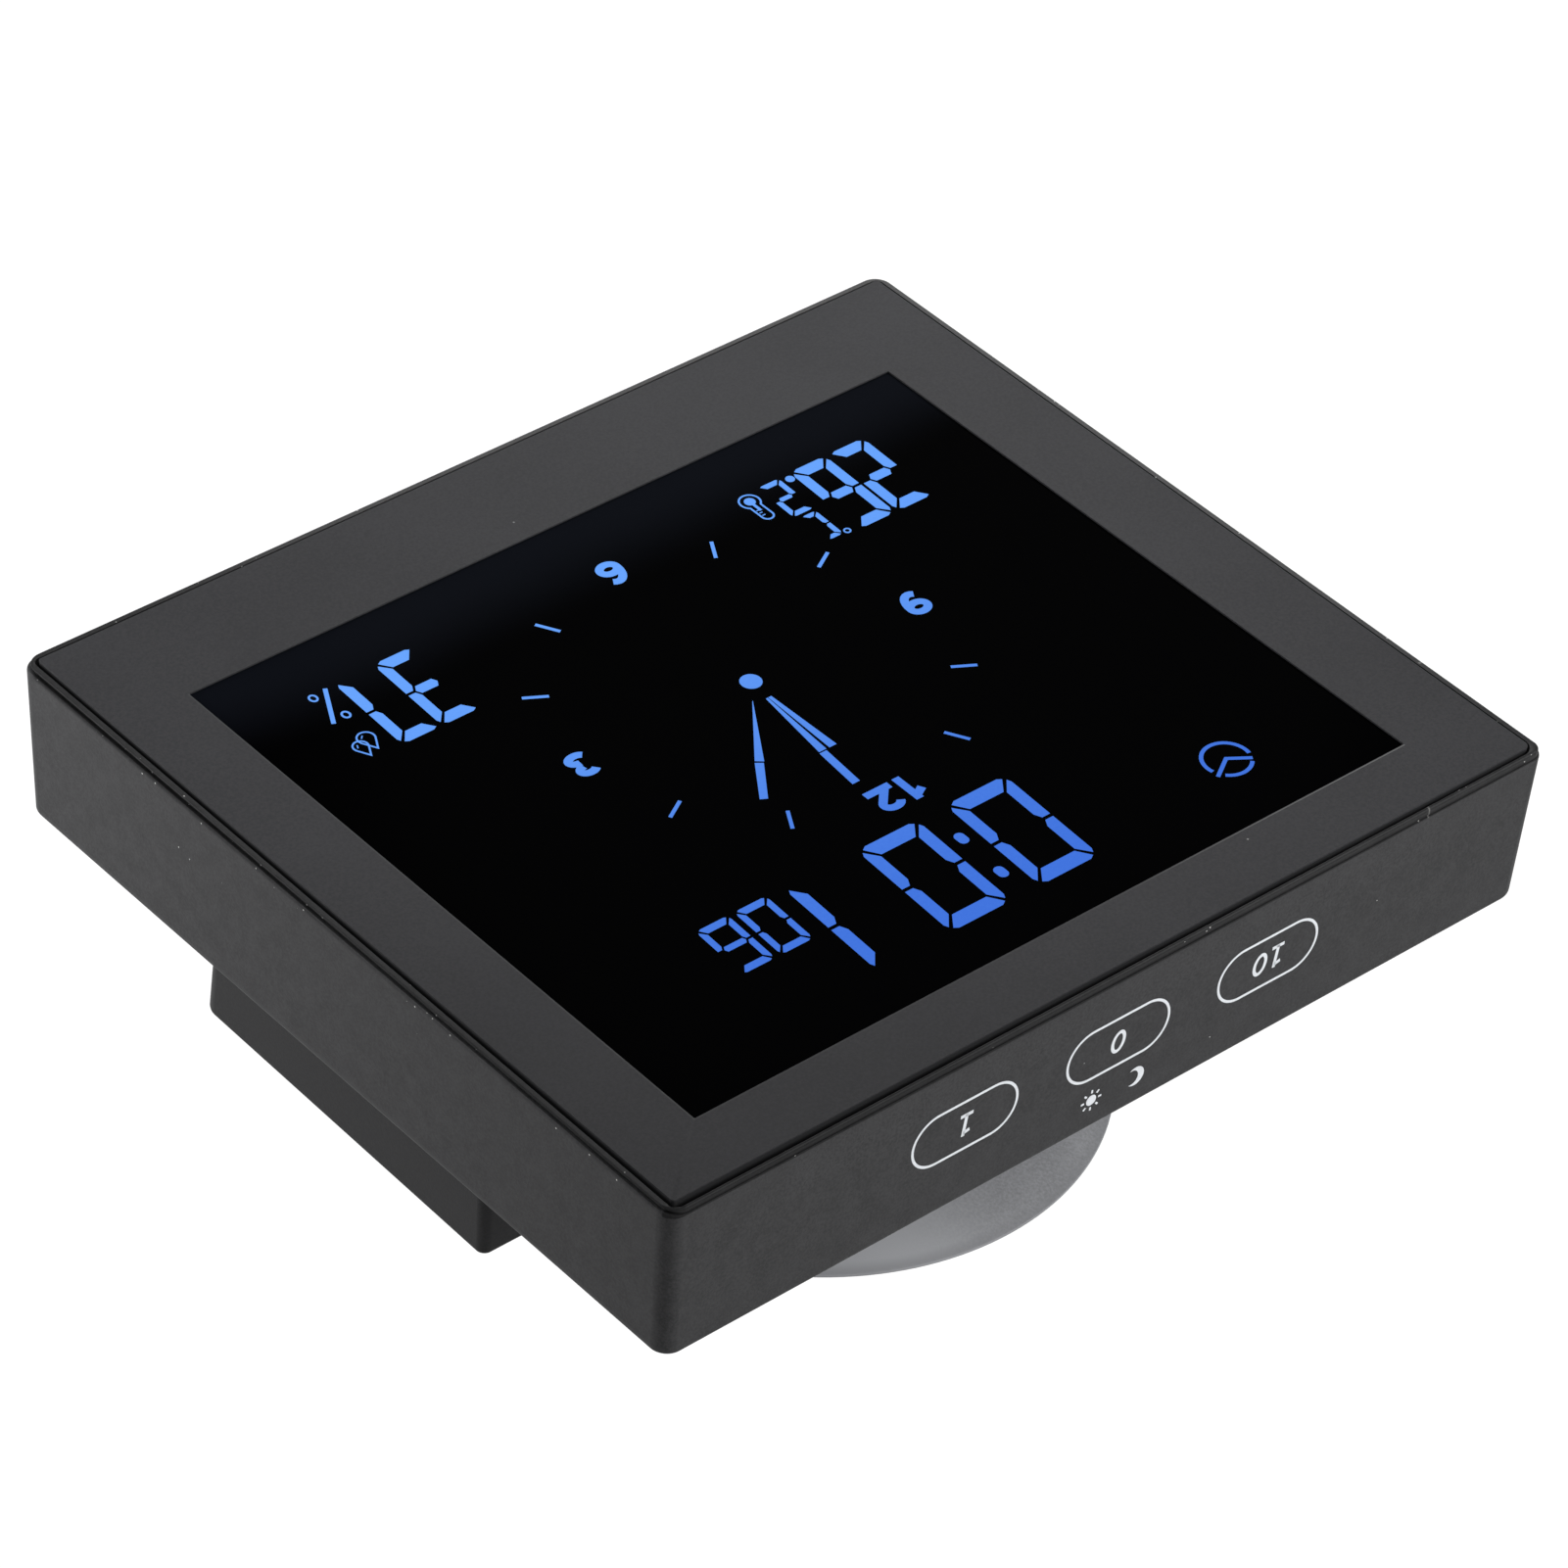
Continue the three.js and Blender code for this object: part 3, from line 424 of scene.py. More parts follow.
def maths(operation: str, swapped: bool = False) -> Callable[..., Value]:
    """Makes a method of Value that adds one Math node, its two numbers swapped on demand."""
    def method(value: Value, other: object = 0.0) -> Value:
        """Adds the node and gives its result."""
        first, second = (other, value) if swapped else (value, other)
        return value.nodes.value("ShaderNodeMath", {"operation": operation}, {0: first, 1: second})
    return method


class Value:
    """A number that varies over a surface; arithmetic on it adds Math nodes."""

    __add__ = __radd__ = maths("ADD")
    __sub__, __rsub__ = maths("SUBTRACT"), maths("SUBTRACT", swapped=True)
    __mul__ = __rmul__ = maths("MULTIPLY")
    __abs__ = maths("ABSOLUTE")
    __gt__, __lt__ = maths("GREATER_THAN"), maths("LESS_THAN")
    highest, lowest = maths("MAXIMUM"), maths("MINIMUM")
    repeated, angle, root = maths("FLOORED_MODULO"), maths("ARCTAN2"), maths("SQRT")

    def __init__(self, nodes: Nodes, socket: Socket) -> None:
        """Wraps a socket of a tree."""
        self.nodes = nodes
        self.socket = socket

    def fade(self, start: float, end: float) -> Value:
        """Rises smoothly from 0 at start to 1 at end, which may be less than start."""
        limits = {"Value": self, "From Min": start, "From Max": end}
        return self.nodes.value("ShaderNodeMapRange", {"interpolation_type": "SMOOTHSTEP"}, limits)


class Surface:
    """The surface of one material: its shader, and places on it in millimetres of the object."""

    def __init__(self, nodes: Nodes, shader: bpy.types.Node) -> None:
        """Adds the coordinates to a material's tree."""
        self.nodes = nodes
        self.shader = shader
        place = nodes.add("ShaderNodeTexCoord").outputs["Object"]
        self.millimetres = nodes.add("ShaderNodeVectorMath", {"operation": "SCALE"},
                                     {0: place, "Scale": 1 / MM}).outputs[0]
        parts = nodes.add("ShaderNodeSeparateXYZ", None, {0: self.millimetres})
        self.x, self.y, self.z = (Value(nodes, output) for output in parts.outputs)

    def feed(self, **sources: object) -> None:
        """Feeds the shader's inputs; an underscore stands for a space in a name."""
        for name, source in sources.items():
            self.nodes.feed(self.shader.inputs[name.replace("_", " ")], source)

    def mixed(self, amount: object, first: object, second: object) -> Socket:
        """Blends two colours or their sockets; an amount of 1 gives the second."""
        ends = [end if isinstance(end, Socket) else (*end, 1.0) for end in (first, second)]
        return self.nodes.add("ShaderNodeMix", {"data_type": "RGBA"},
                              {0: amount, 6: ends[0], 7: ends[1]}).outputs[2]

    def grain(self, size: float, detail: float = 2.0, roughness: float = 0.5) -> Value:
        """Gives an even noise about 0.5, from the size of a grain and its finer layers."""
        return self.nodes.value("ShaderNodeTexNoise", None, {
            "Vector": self.millimetres, "Scale": 1 / size, "Detail": detail,
            "Roughness": roughness})

    def fine_grain(self) -> Value:
        """Gives the fine noise that all moulded parts share."""
        return self.grain(0.34, 3.0, 0.7)

    def specks(self, spacing: float, size: float, share: float) -> Value:
        """Gives scattered dots.

        Args:
            spacing: Distance between the cells that may hold one.
            size: Radius of a dot.
            share: Share of the cells that hold one.

        Returns:
            1 on a dot, else 0.
        """
        cells = self.nodes.add("ShaderNodeTexVoronoi", None,
                               {"Vector": self.millimetres, "Scale": 1 / spacing})
        pick = self.nodes.value("ShaderNodeSeparateColor", None, {0: cells.outputs["Color"]})
        near = Value(self.nodes, cells.outputs["Distance"])
        return (near < size / spacing * (pick + 0.4)) * (pick > 1 - share)

    def relief(self, height: Value, depth: float) -> Socket:
        """Turns a height of 0 to 1 into a bumped normal, with the depth that 1 stands for."""
        return self.nodes.add("ShaderNodeBump", None, {
            "Height": height, "Distance": depth * MM, "Strength": 1.0}).outputs[0]

    def shadow(self, share: Value) -> None:
        """Takes a share of all light from the surface: painted shade, such as the shadow in a
        groove.
        """
        dark = self.nodes.add("ShaderNodeBsdfDiffuse", None, {"Color": (*BLACK, 1.0)})
        mix = self.nodes.add("ShaderNodeMixShader", None,
                             {0: share, 1: self.shader.outputs[0], 2: dark.outputs[0]})
        output = next(node for node in self.nodes.tree.nodes if node.type == "OUTPUT_MATERIAL")
        self.nodes.feed(output.inputs["Surface"], mix.outputs[0])


def fresh_nodes(owner: bpy.types.Material | bpy.types.World) -> Nodes:
    """Gives a material or a world an empty node tree."""
    owner.use_nodes = True
    owner.node_tree.nodes.clear()
    return Nodes(owner.node_tree)


@dataclass(frozen=True)
class Finish:
    """A surface finish. On its own it is a moulded plastic with a fine grain."""

    name: str
    colour: Colour
    roughness: float = 0.55
    mottling: float = 0.12
    grain: float = 0.25
    depth: float = 0.012
    specular: float = 0.3
    metallic: float = 0.0

    def material(self) -> bpy.types.Material:
        """Makes the material once and gives it again later."""
        known = bpy.data.materials.get(self.name)
        if known:
            return known
        material = bpy.data.materials.new(self.name)
        material.diffuse_color = (*self.colour, 1.0)
        nodes = fresh_nodes(material)
        shader = nodes.add("ShaderNodeBsdfPrincipled", None, {
            "Roughness": self.roughness, "Metallic": self.metallic,
            "Specular IOR Level": self.specular})
        nodes.add("ShaderNodeOutputMaterial", None, {"Surface": shader.outputs[0]})
        self.dress(Surface(nodes, shader))
        return material

    def dress(self, surface: Surface) -> None:
        """Feeds the shader with what changes over the surface."""
        grain = surface.grain(self.grain)
        self.wear(surface, self.tone(surface, surface.grain(self.grain * 1.6)),
                  0.1 * (grain - 0.5), grain)

    def wear(self, surface: Surface, colour: Socket, sheen: Value, height: Value) -> None:
        """Feeds a surface's shader; sheen is added to the roughness, and 0 to 1 is bumped."""
        surface.feed(Base_Color=colour, Roughness=self.roughness + sheen,
                     Normal=surface.relief(height, self.depth))

    def tone(self, surface: Surface, amount: Value) -> Socket:
        """Varies the finish's colour by its mottling."""
        high = tuple(min(1.0, part) for part in self.shade(1 + self.mottling))
        return surface.mixed(amount.fade(0.3, 0.7), self.shade(1 - self.mottling), high)

    def shade(self, share: float) -> Colour:
        """Gives a darker or lighter colour of the same hue."""
        return tuple(part * share for part in self.colour)


@dataclass(frozen=True)
class CasePlastic(Finish):
    """Dark satin plastic of the case: a smooth rim, grained walls and dust along its edges, with
    painted shade and painted highlights.
    """

    rim_level: float = 44.8
    upper_rim_level: float = 44.42
    land_level: float = 45.55
    channel: Flat = (44.5, 45.2)
    half_width: float = 60.0
    half_height: float = 53.8
    # Reach of the painted shade on the four upright corners, from the walls.
    corner: Flat = (1.8, 0.4)
    turn: Flat = (3.0, 1.5)
    rim_share: float = 0.6
    upper_mark: float = -42.9
    left_mark: float = 35.5
    # Reach of the painted highlight on the upper wall, across it and up it.
    upper_highlight_x: Flat = (47.0, 44.0)
    upper_highlight_z: Flat = (38.6, 40.0)
    # Level of the painted highlight along the rear edge.
    edge_highlight_level: float = 26.4
    dusty_z: Flat = (43.6, 44.6)
    # Light colour of the dust specks and marks, also mixed in as painted light on the far rim.
    dust_and_highlight: Colour = linear(190, 190, 188)

    def near_corner(self, surface: Surface, start: float, end: float) -> Value:
        """Rises from 0 to 1 near an upright edge, between two distances from the walls."""
        return (abs(surface.x).fade(self.half_width - start, self.half_width - end)
                * abs(surface.y).fade(self.half_height - start, self.half_height - end))

    def dress(self, surface: Surface) -> None:
        """Feeds the shader; see Finish.dress."""
        fine, mixed, z = surface.fine_grain(), surface.mixed, surface.z
        colour = self.tone(surface, 0.75 * fine + 0.25 * surface.grain(2.4))
        # Painted shade on the four upright corners.
        colour = mixed(0.25 * self.near_corner(surface, *self.corner), colour, BLACK)

        upper = surface.y.fade(self.half_height - 1.5, self.half_height - 1.2)
        along = surface.x.fade(0.0, self.half_width)
        rim_z = z + (self.rim_level - self.upper_rim_level) * upper * (1 - 0.4 * along * along)
        rim = rim_z.fade(self.rim_level - 0.06, self.rim_level + 0.06)
        top = rim * upper.highest(z > self.land_level)
        # near rises towards the corner between twelve and three o'clock and far towards the one
        # between six and nine; they grade the painted light and shade below.
        towards = surface.x + surface.y
        far, near = towards.fade(-8.0, -40.0), towards.fade(25.0, 95.0)
        # The smooth rim's top is darker than the grained walls, less so on the far sides, where a
        # little light colour is also mixed in: painted light.
        colour = mixed((1 - self.rim_share - 0.3 * far) * top, colour, BLACK)
        colour = mixed(0.02 * far * top, colour, self.dust_and_highlight)

        # Painted shadow in the channel under the rim: a line on the side with the keys and a soft
        # band on the three plain sides, lighter towards the near corner.
        line = abs(rim_z - (self.rim_level + 0.4)).fade(0.45, 0.1) * upper
        soft = (z.fade(*self.channel) * (1 - upper)
                * z.fade(self.land_level + 0.05, self.land_level - 0.05))
        groove = 0.22 * line * (1 - 0.7 * near) + soft * (0.72 - 0.5 * near)
        # Painted shade on the rim's top, growing towards the near corner, together with the
        # channel's painted shadow, which is left out at the upright corners.
        shade = (top * (0.14 + 0.2 * near - 0.14 * far)
                 + groove * (1 - self.near_corner(surface, *self.turn)))
        surface.shadow(shade.lowest(0.95))

        # Painted highlight on the upper wall between the keys and the rim, mottled by the fine
        # grain.
        band = (upper * abs(surface.x).fade(*self.upper_highlight_x) * z.fade(*self.upper_highlight_z)
                * z.fade(self.upper_rim_level, self.upper_rim_level - 0.4))
        colour = mixed(0.55 * band * fine.fade(0.35, 0.75), colour, self.shade(1.45))
        # Painted highlight along the rear edge of the side at three o'clock.
        edge_highlight = (surface.x > self.half_width - 1.2) * abs(z - self.edge_highlight_level).fade(0.3, 0.05)
        colour = mixed(0.45 * edge_highlight, colour, self.shade(1.45))

        left = (surface.x < 0.8 - self.half_width) * (z > self.land_level)
        marks = ((abs(surface.x - self.upper_mark) < 0.1) * upper * rim).highest(
            (abs(surface.y - self.left_mark) < 0.15) * left)
        colour = mixed(0.2 * marks, colour, self.dust_and_highlight)
        dusty = (z.fade(*self.dusty_z) + 0.06).lowest(1.0)
        dots = surface.specks(0.5, 0.07, 0.07) * (surface.grain(5.0) * dusty > 0.5)
        dots = (dots + surface.specks(2.3, 0.07, 0.03)).lowest(1.0)
        colour = mixed(0.8 * dots, colour, self.dust_and_highlight)
        self.wear(surface, colour, 0.12 * (fine - 0.5) - 0.12 * rim, fine * (1 - 0.8 * rim))


@dataclass(frozen=True)
class BezelPrint(Finish):
    """Matte print of the front panel, with a painted highlight along the window's edge and painted
    shade towards one corner.
    """

    window: Rect = WINDOW
    # Colour of the painted highlight along the window's edge, also used for the light specks.
    line: Colour = linear(150, 150, 150)
    highlight_width: float = 0.075
    highlight_offset: Flat = (0.12, 0.15)
    highlight_share: float = 0.06
    near_shade_share: float = 0.24

    def dress(self, surface: Surface) -> None:
        """Feeds the shader; see Finish.dress."""
        fine, mixed, width = surface.fine_grain(), surface.mixed, self.highlight_width
        colour = self.tone(surface, 0.8 * fine + 0.2 * surface.grain(14.0, 1.0))
        # Painted shade: the border grows darker towards the corner between twelve and three o'clock.
        near = (surface.x + surface.y).fade(35.0, 85.0)
        colour = mixed(self.near_shade_share * near, colour, BLACK)
        # Painted highlight along the window's edges at three and twelve o'clock, stronger towards
        # nine o'clock on the upper one.
        across = surface.x - self.window.x_high
        along = surface.y - self.window.y_high
        within_x = (surface.x > self.window.x_low) * (across < 2 * width)
        within_y = (surface.y > self.window.y_low) * (along < 2 * width)
        right = (abs(across - self.highlight_offset[0]) < width) * within_y
        upper = (abs(along - self.highlight_offset[1]) < width) * within_x
        upper_share = 0.03 + 0.26 * surface.x.fade(0.0, -42.0)
        colour = mixed((self.highlight_share * right).highest(upper_share * upper), colour, self.line)
        colour = mixed(0.6 * surface.specks(3.4, 0.09, 0.05), colour, self.line)
        self.wear(surface, colour, 0.08 * (fine - 0.5), fine)


@dataclass(frozen=True)
class WindowBlack(Finish):
    """Gloss black of the display window, with a faint blue painted reflection towards six o'clock.
    """

    reflection_y: Flat = (WINDOW.y_low + 13.5, WINDOW.y_low + 2.0)
    rim: Flat = (58.4, 52.2)
    # Colour of the painted reflection.
    glow: Colour = linear(13, 15, 20)
    side: Colour = linear(40, 40, 41)

    def dress(self, surface: Surface) -> None:
        """Feeds the shader; see Finish.dress."""
        # Painted reflection: a faint blue band along the six o'clock side, with a wavy edge.
        amount = (surface.y + 5.0 * (surface.grain(30.0, 1.0) - 0.5)).fade(*self.reflection_y)
        outside = (abs(surface.x) > self.rim[0]).highest(abs(surface.y) > self.rim[1])
        glass = surface.mixed(amount, self.colour, self.glow)
        surface.feed(Base_Color=surface.mixed(outside, glass, self.side),
                     Roughness=self.roughness + 0.06 * surface.grain(9.0, 3.0))


@dataclass(frozen=True)
class LitShape(Finish):
    """Glowing blue of a lit display shape; it grows paler towards six o'clock."""

    paler_y: Flat = (40.0, -35.0)
    deep: Colour = linear(66, 116, 222)
    pale: Colour = linear(106, 166, 255)

    def dress(self, surface: Surface) -> None:
        """Feeds the shader; see Finish.dress."""
        amount = surface.y.fade(*self.paler_y) + 0.16 * (surface.grain(0.35) - 0.5)
        surface.feed(Emission_Color=surface.mixed(amount, self.deep, self.pale),
                     Emission_Strength=1.0, Base_Color=(*BLACK, 1.0))


@dataclass(frozen=True)
class FrostedRubber(Finish):
    """Frosted soft plastic of the suction cup, darker at its lip, with painted light that makes one
    side paler.
    """

    centre: Flat = (0.0, 0.0)
    radius: float = 33.7
    lit_side_x: Flat = (-4.0, 14.0)

    def dress(self, surface: Surface) -> None:
        """Feeds the shader; see Finish.dress."""
        dx, dy = surface.x - self.centre[0], surface.y - self.centre[1]
        reach = (dx * dx + dy * dy).root()
        fine, mixed = surface.fine_grain(), surface.mixed
        colour = self.tone(surface, 0.7 * fine + 0.3 * surface.grain(9.0))
        # Painted light: the cup grows paler towards three o'clock.
        colour = mixed(surface.x.fade(*self.lit_side_x), colour, self.shade(1.55))
        lip = reach.fade(self.radius - 1.6, self.radius - 0.2)
        colour = mixed(0.45 * lip, colour, self.shade(0.72))
        colour = mixed(0.5 * surface.specks(1.6, 0.1, 0.06), colour, self.shade(0.5))
        self.wear(surface, colour, 0.12 * (fine - 0.5), fine)


@dataclass(frozen=True)
class BrushedMetal(Finish):
    """Plated or drawn metal with fine streaks along X."""

    metallic: float = 1.0
    streak: float = 6.0

    def dress(self, surface: Surface) -> None:
        """Feeds the shader; see Finish.dress."""
        stretched = surface.nodes.add("ShaderNodeVectorMath", {"operation": "MULTIPLY"}, {
            0: surface.millimetres, 1: (1 / self.streak, 1 / self.grain, 1 / self.grain)})
        streaks = surface.nodes.value("ShaderNodeTexNoise", None, {
            "Vector": stretched.outputs[0], "Scale": 1.0, "Detail": 3.0})
        self.wear(surface, self.tone(surface, streaks), 0.25 * (streaks - 0.5), streaks)


@dataclass(frozen=True)
class SolderMask(Finish):
    """Green solder mask over copper tracks, with drilled plated holes between them."""

    pitch: float = 2.54
    track: Colour = (0.045, 0.24, 0.1)
    pad: Colour = (0.72, 0.62, 0.4)

    def dress(self, surface: Surface) -> None:
        """Feeds the shader; see Finish.dress."""
        bend = 5.0 * (surface.grain(13.0, 0.0) > 0.5)
        half = self.pitch / 2
        lane = abs((surface.x + surface.y * 0.5 + bend).repeated(self.pitch) - half)
        cross = abs((surface.y + bend).repeated(self.pitch) - half)
        zone = surface.grain(11.0, 0.0).fade(0.44, 0.47)
        tracks = (lane.fade(0.42, 0.34) * zone).highest(cross.fade(0.36, 0.28) * (1 - zone))
        colour = surface.mixed(tracks, self.tone(surface, surface.grain(0.7)), self.track)
        holes = surface.specks(2.2, 0.36, 0.16)
        self.wear(surface, surface.mixed(holes, colour, self.pad), -0.1 * tracks,
                  tracks.highest(holes))


@dataclass(frozen=True)
class Striped(Finish):
    """Even stripes across X, such as a rubber connector's layers or a flat ribbon's wires."""

    stripe: Colour = (0.3, 0.3, 0.3)
    pitch: float = 0.5
    share: float = 0.5

    def dress(self, surface: Surface) -> None:
        """Feeds the shader; see Finish.dress."""
        lines = surface.x.repeated(self.pitch) < self.pitch * self.share
        grain = surface.grain(self.grain)
        self.wear(surface, surface.mixed(lines, self.tone(surface, grain), self.stripe),
                  0.1 * (grain - 0.5), lines)


@dataclass(frozen=True)
class SleevePrint(Finish):
    """Plain shrink sleeve of a cell, with a lighter band towards its nub."""

    nub_x: float = 0.0
    band_reach: Flat = (10.2, 10.0)
    band: Colour = (0.52, 0.55, 0.58)

    def dress(self, surface: Surface) -> None:
        """Feeds the shader; see Finish.dress."""
        band = abs(surface.x - self.nub_x).fade(*self.band_reach)
        wrap = surface.grain(0.5, 3.0)
        self.wear(surface, surface.mixed(band, self.tone(surface, surface.grain(1.2)), self.band),
                  0.15 * (wrap - 0.5), wrap)


@dataclass(frozen=True)
class Fitting:
    """Where a piece belongs: its body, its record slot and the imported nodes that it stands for."""

    body: Carrier
    slot: Slot
    replaces: tuple[str, ...] = ()


def on_clock(slot: Slot, *nodes: str) -> Fitting:
    """Gives the fitting of a piece that rides on the clock's main body."""
    return Fitting(Carrier.CLOCK, slot, nodes)


class GeometryTree:
    """A geometry tree with named inputs, which makes one mesh."""

    name = "tree"
    lengths: Sequence[str] = ()
    counts: Sequence[str] = ()
    objects: Sequence[str] = ()

    def __init__(self) -> None:
        """Makes the tree's group and sockets, then its nodes."""
        self.group = bpy.data.node_groups.new(self.name, "GeometryNodeTree")
        for way, kind, titles in (
            ("INPUT", "Geometry", ("Geometry",)), ("INPUT", "Float", self.lengths),
            ("INPUT", "Int", self.counts), ("INPUT", "Object", self.objects),
            ("INPUT", "Material", ("Finish",)), ("OUTPUT", "Geometry", ("Geometry",)),
        ):
            for title in titles:
                self.group.interface.new_socket(title, in_out=way, socket_type=f"NodeSocket{kind}")
        self.nodes = Nodes(self.group)
        self.given = self.nodes.add("NodeGroupInput").outputs
        real = self.put("RealizeInstances", Geometry=self.shape())
        dressed = self.put("SetMaterial", Geometry=real, Material=self.given["Finish"])
        self.nodes.add("NodeGroupOutput", None, {0: dressed})

    def shape(self) -> Socket:
        """Adds the nodes that make the shape, and gives their geometry."""
        raise NotImplementedError

    def put(self, kind: str, settings: Given = None, **inputs: object) -> Socket:
        """Adds a geometry node, with underscores for spaces in the names of its inputs."""
        named = {title.replace("_", " "): given for title, given in inputs.items()}
        return self.nodes.add(f"GeometryNode{kind}", settings, named).outputs[0]

    def size(self, title: str) -> Value:
        """Gives one of the named inputs as an expression."""
        return Value(self.nodes, self.given[title])

    def vector(self, x: object, y: object, z: object) -> Socket:
        """Joins three numbers or expressions to a vector."""
        return self.nodes.add("ShaderNodeCombineXYZ", None, {0: x, 1: y, 2: z}).outputs[0]

    def made(self, name: str, finish: Finish, start: Mesh | None = None,
             at: Point = (0.0, 0.0, 0.0), **sizes: object) -> Mesh:
        """Runs the tree once.

        Args:
            name: Name of the mesh.
            finish: Its finish.
            start: Geometry that the tree works on, if any.
            at: Where the mesh goes, in millimetres.
            **sizes: A value for each named input, lengths in millimetres.

        Returns:
            A plain mesh.
        """
        holder = held(start or bpy.data.meshes.new(name))
        modifier = holder.modifiers.new(self.name, "NODES")
        modifier.node_group = self.group
        given = {title: size * MM if title in self.lengths else size
                 for title, size in sizes.items()}
        given["Finish"] = finish.material()
        for item in self.group.interface.items_tree:
            if item.in_out == "INPUT" and item.name in given:
                modifier[item.identifier] = given[item.name]
        holder.update_tag()
        mesh = evaluated_mesh(holder, name)
        mesh.transform(Matrix.Translation(Vector(at) * MM))
        return mesh


class SlotRowTree(GeometryTree):
    """A row of upright prisms with round ends, side by side along Y."""

    name = "slot_row"
    lengths = ("Pitch", "Length", "Width", "Depth")
    counts = ("Count",)

    def shape(self) -> Socket:
        """Adds the nodes; see GeometryTree.shape."""
        width, half, pitch = self.size("Width"), 0.5 * self.size("Depth"), self.size("Pitch")
        outline = self.put("CurvePrimitiveQuadrilateral", Width=self.size("Length"), Height=width)
        rounded = self.put("FilletCurve", {"mode": "POLY"}, Curve=outline, Count=6,
                           Radius=width * 0.499)
        axis = self.put("CurvePrimitiveLine", Start=self.vector(0.0, 0.0, -1 * half),
                        End=self.vector(0.0, 0.0, half))
        prism = self.put("CurveToMesh", Curve=axis, Profile_Curve=rounded, Fill_Caps=True)
        first = -0.5 * pitch * (self.size("Count") - 1)
        row = self.put("MeshLine", Count=self.size("Count"), Offset=self.vector(0.0, pitch, 0.0),
                       Start_Location=self.vector(0.0, first, 0.0))
        return self.put("InstanceOnPoints", Points=row, Instance=prism)


class DialTickTree(GeometryTree):
    """Short bars round a dial, with every third place left free for a numeral."""

    name = "dial_ticks"
    lengths = ("Radius", "Length", "Width", "Depth")

    def shape(self) -> Socket:
        """Adds the nodes; see GeometryTree.shape."""
        ring = self.put("MeshCircle", Vertices=12, Radius=self.size("Radius"))
        free = self.nodes.value("GeometryNodeInputIndex").repeated(3.0) < 0.5
        places = self.put("DeleteGeometry", {"domain": "POINT"}, Geometry=ring, Selection=free)
        spot = self.nodes.add("ShaderNodeSeparateXYZ", None, {0: self.put("InputPosition")}).outputs
        angle = Value(self.nodes, spot[1]).angle(spot[0])
        bar = self.put("MeshCube", Size=self.vector(*map(self.size, self.lengths[1:])))
        return self.put("InstanceOnPoints", Points=places, Instance=bar,
                        Rotation=self.vector(0.0, 0.0, angle))


class SpringTree(GeometryTree):
    """A cone of round wire that rises along Z in three turns."""

    name = "cone_spring"
    lengths = ("Wide", "Narrow", "Height", "Wire")

    def shape(self) -> Socket:
        """Adds the nodes; see GeometryTree.shape."""
        path = self.put("CurveSpiral", Resolution=28, Rotations=3.0, Start_Radius=self.size("Wide"),
                        End_Radius=self.size("Narrow"), Height=self.size("Height"))
        wire = self.put("CurvePrimitiveCircle", Resolution=10, Radius=self.size("Wire"))
        return self.put("CurveToMesh", Curve=path, Profile_Curve=wire, Fill_Caps=True)


class PlacedTree(GeometryTree):
    """One small shape on each point of a mesh, turned as the points' turn attribute says."""

    name = "placed_shapes"
    objects = ("Shape",)

    def shape(self) -> Socket:
        """Adds the nodes; see GeometryTree.shape."""
        shape = self.nodes.add("GeometryNodeObjectInfo", None, {"Object": self.given["Shape"]})
        turn = self.put("InputNamedAttribute", {"data_type": "FLOAT_VECTOR"}, Name="turn")
        return self.put("InstanceOnPoints", Points=self.given["Geometry"],
                        Instance=shape.outputs["Geometry"], Rotation=turn)

    def spread(self, name: str, shape: Mesh, finish: Finish,
               places: Sequence[tuple[Point, Point]]) -> Mesh:
        """Sets a shape at several places.

        Args:
            name: Name of the mesh.
            shape: The small shape, in metres.
            finish: Its finish.
            places: Position in millimetres and turn in radians of each.

        Returns:
            One mesh with all of them.
        """
        points = bpy.data.meshes.new(f"{name}_places")
        points.from_pydata([[c * MM for c in position] for position, _ in places], [], [])
        turns = points.attributes.new("turn", "FLOAT_VECTOR", "POINT")
        for item, (_, turn) in zip(turns.data, places):
            item.vector = turn
        model = held(shape)
        mesh = self.made(name, finish, points, Shape=model)
        bpy.data.objects.remove(model)
        return mesh


class DotFieldTree(GeometryTree):
    """Small low domes in a grid, as moulded in the back of a light guide."""

    name = "dot_field"
    lengths = ("Width", "Height", "Dot")
    counts = ("Columns", "Rows")

    def shape(self) -> Socket:
        """Adds the nodes; see GeometryTree.shape."""
        dot = self.size("Dot")
        grid = self.put("MeshGrid", Size_X=self.size("Width"), Size_Y=self.size("Height"),
                        Vertices_X=self.size("Columns"), Vertices_Y=self.size("Rows"))
        dome = self.put("MeshCone", Vertices=6, Side_Segments=1, Radius_Top=dot * 0.5,
                        Radius_Bottom=dot, Depth=dot * 0.25)
        return self.put("InstanceOnPoints", Points=grid, Instance=dome)


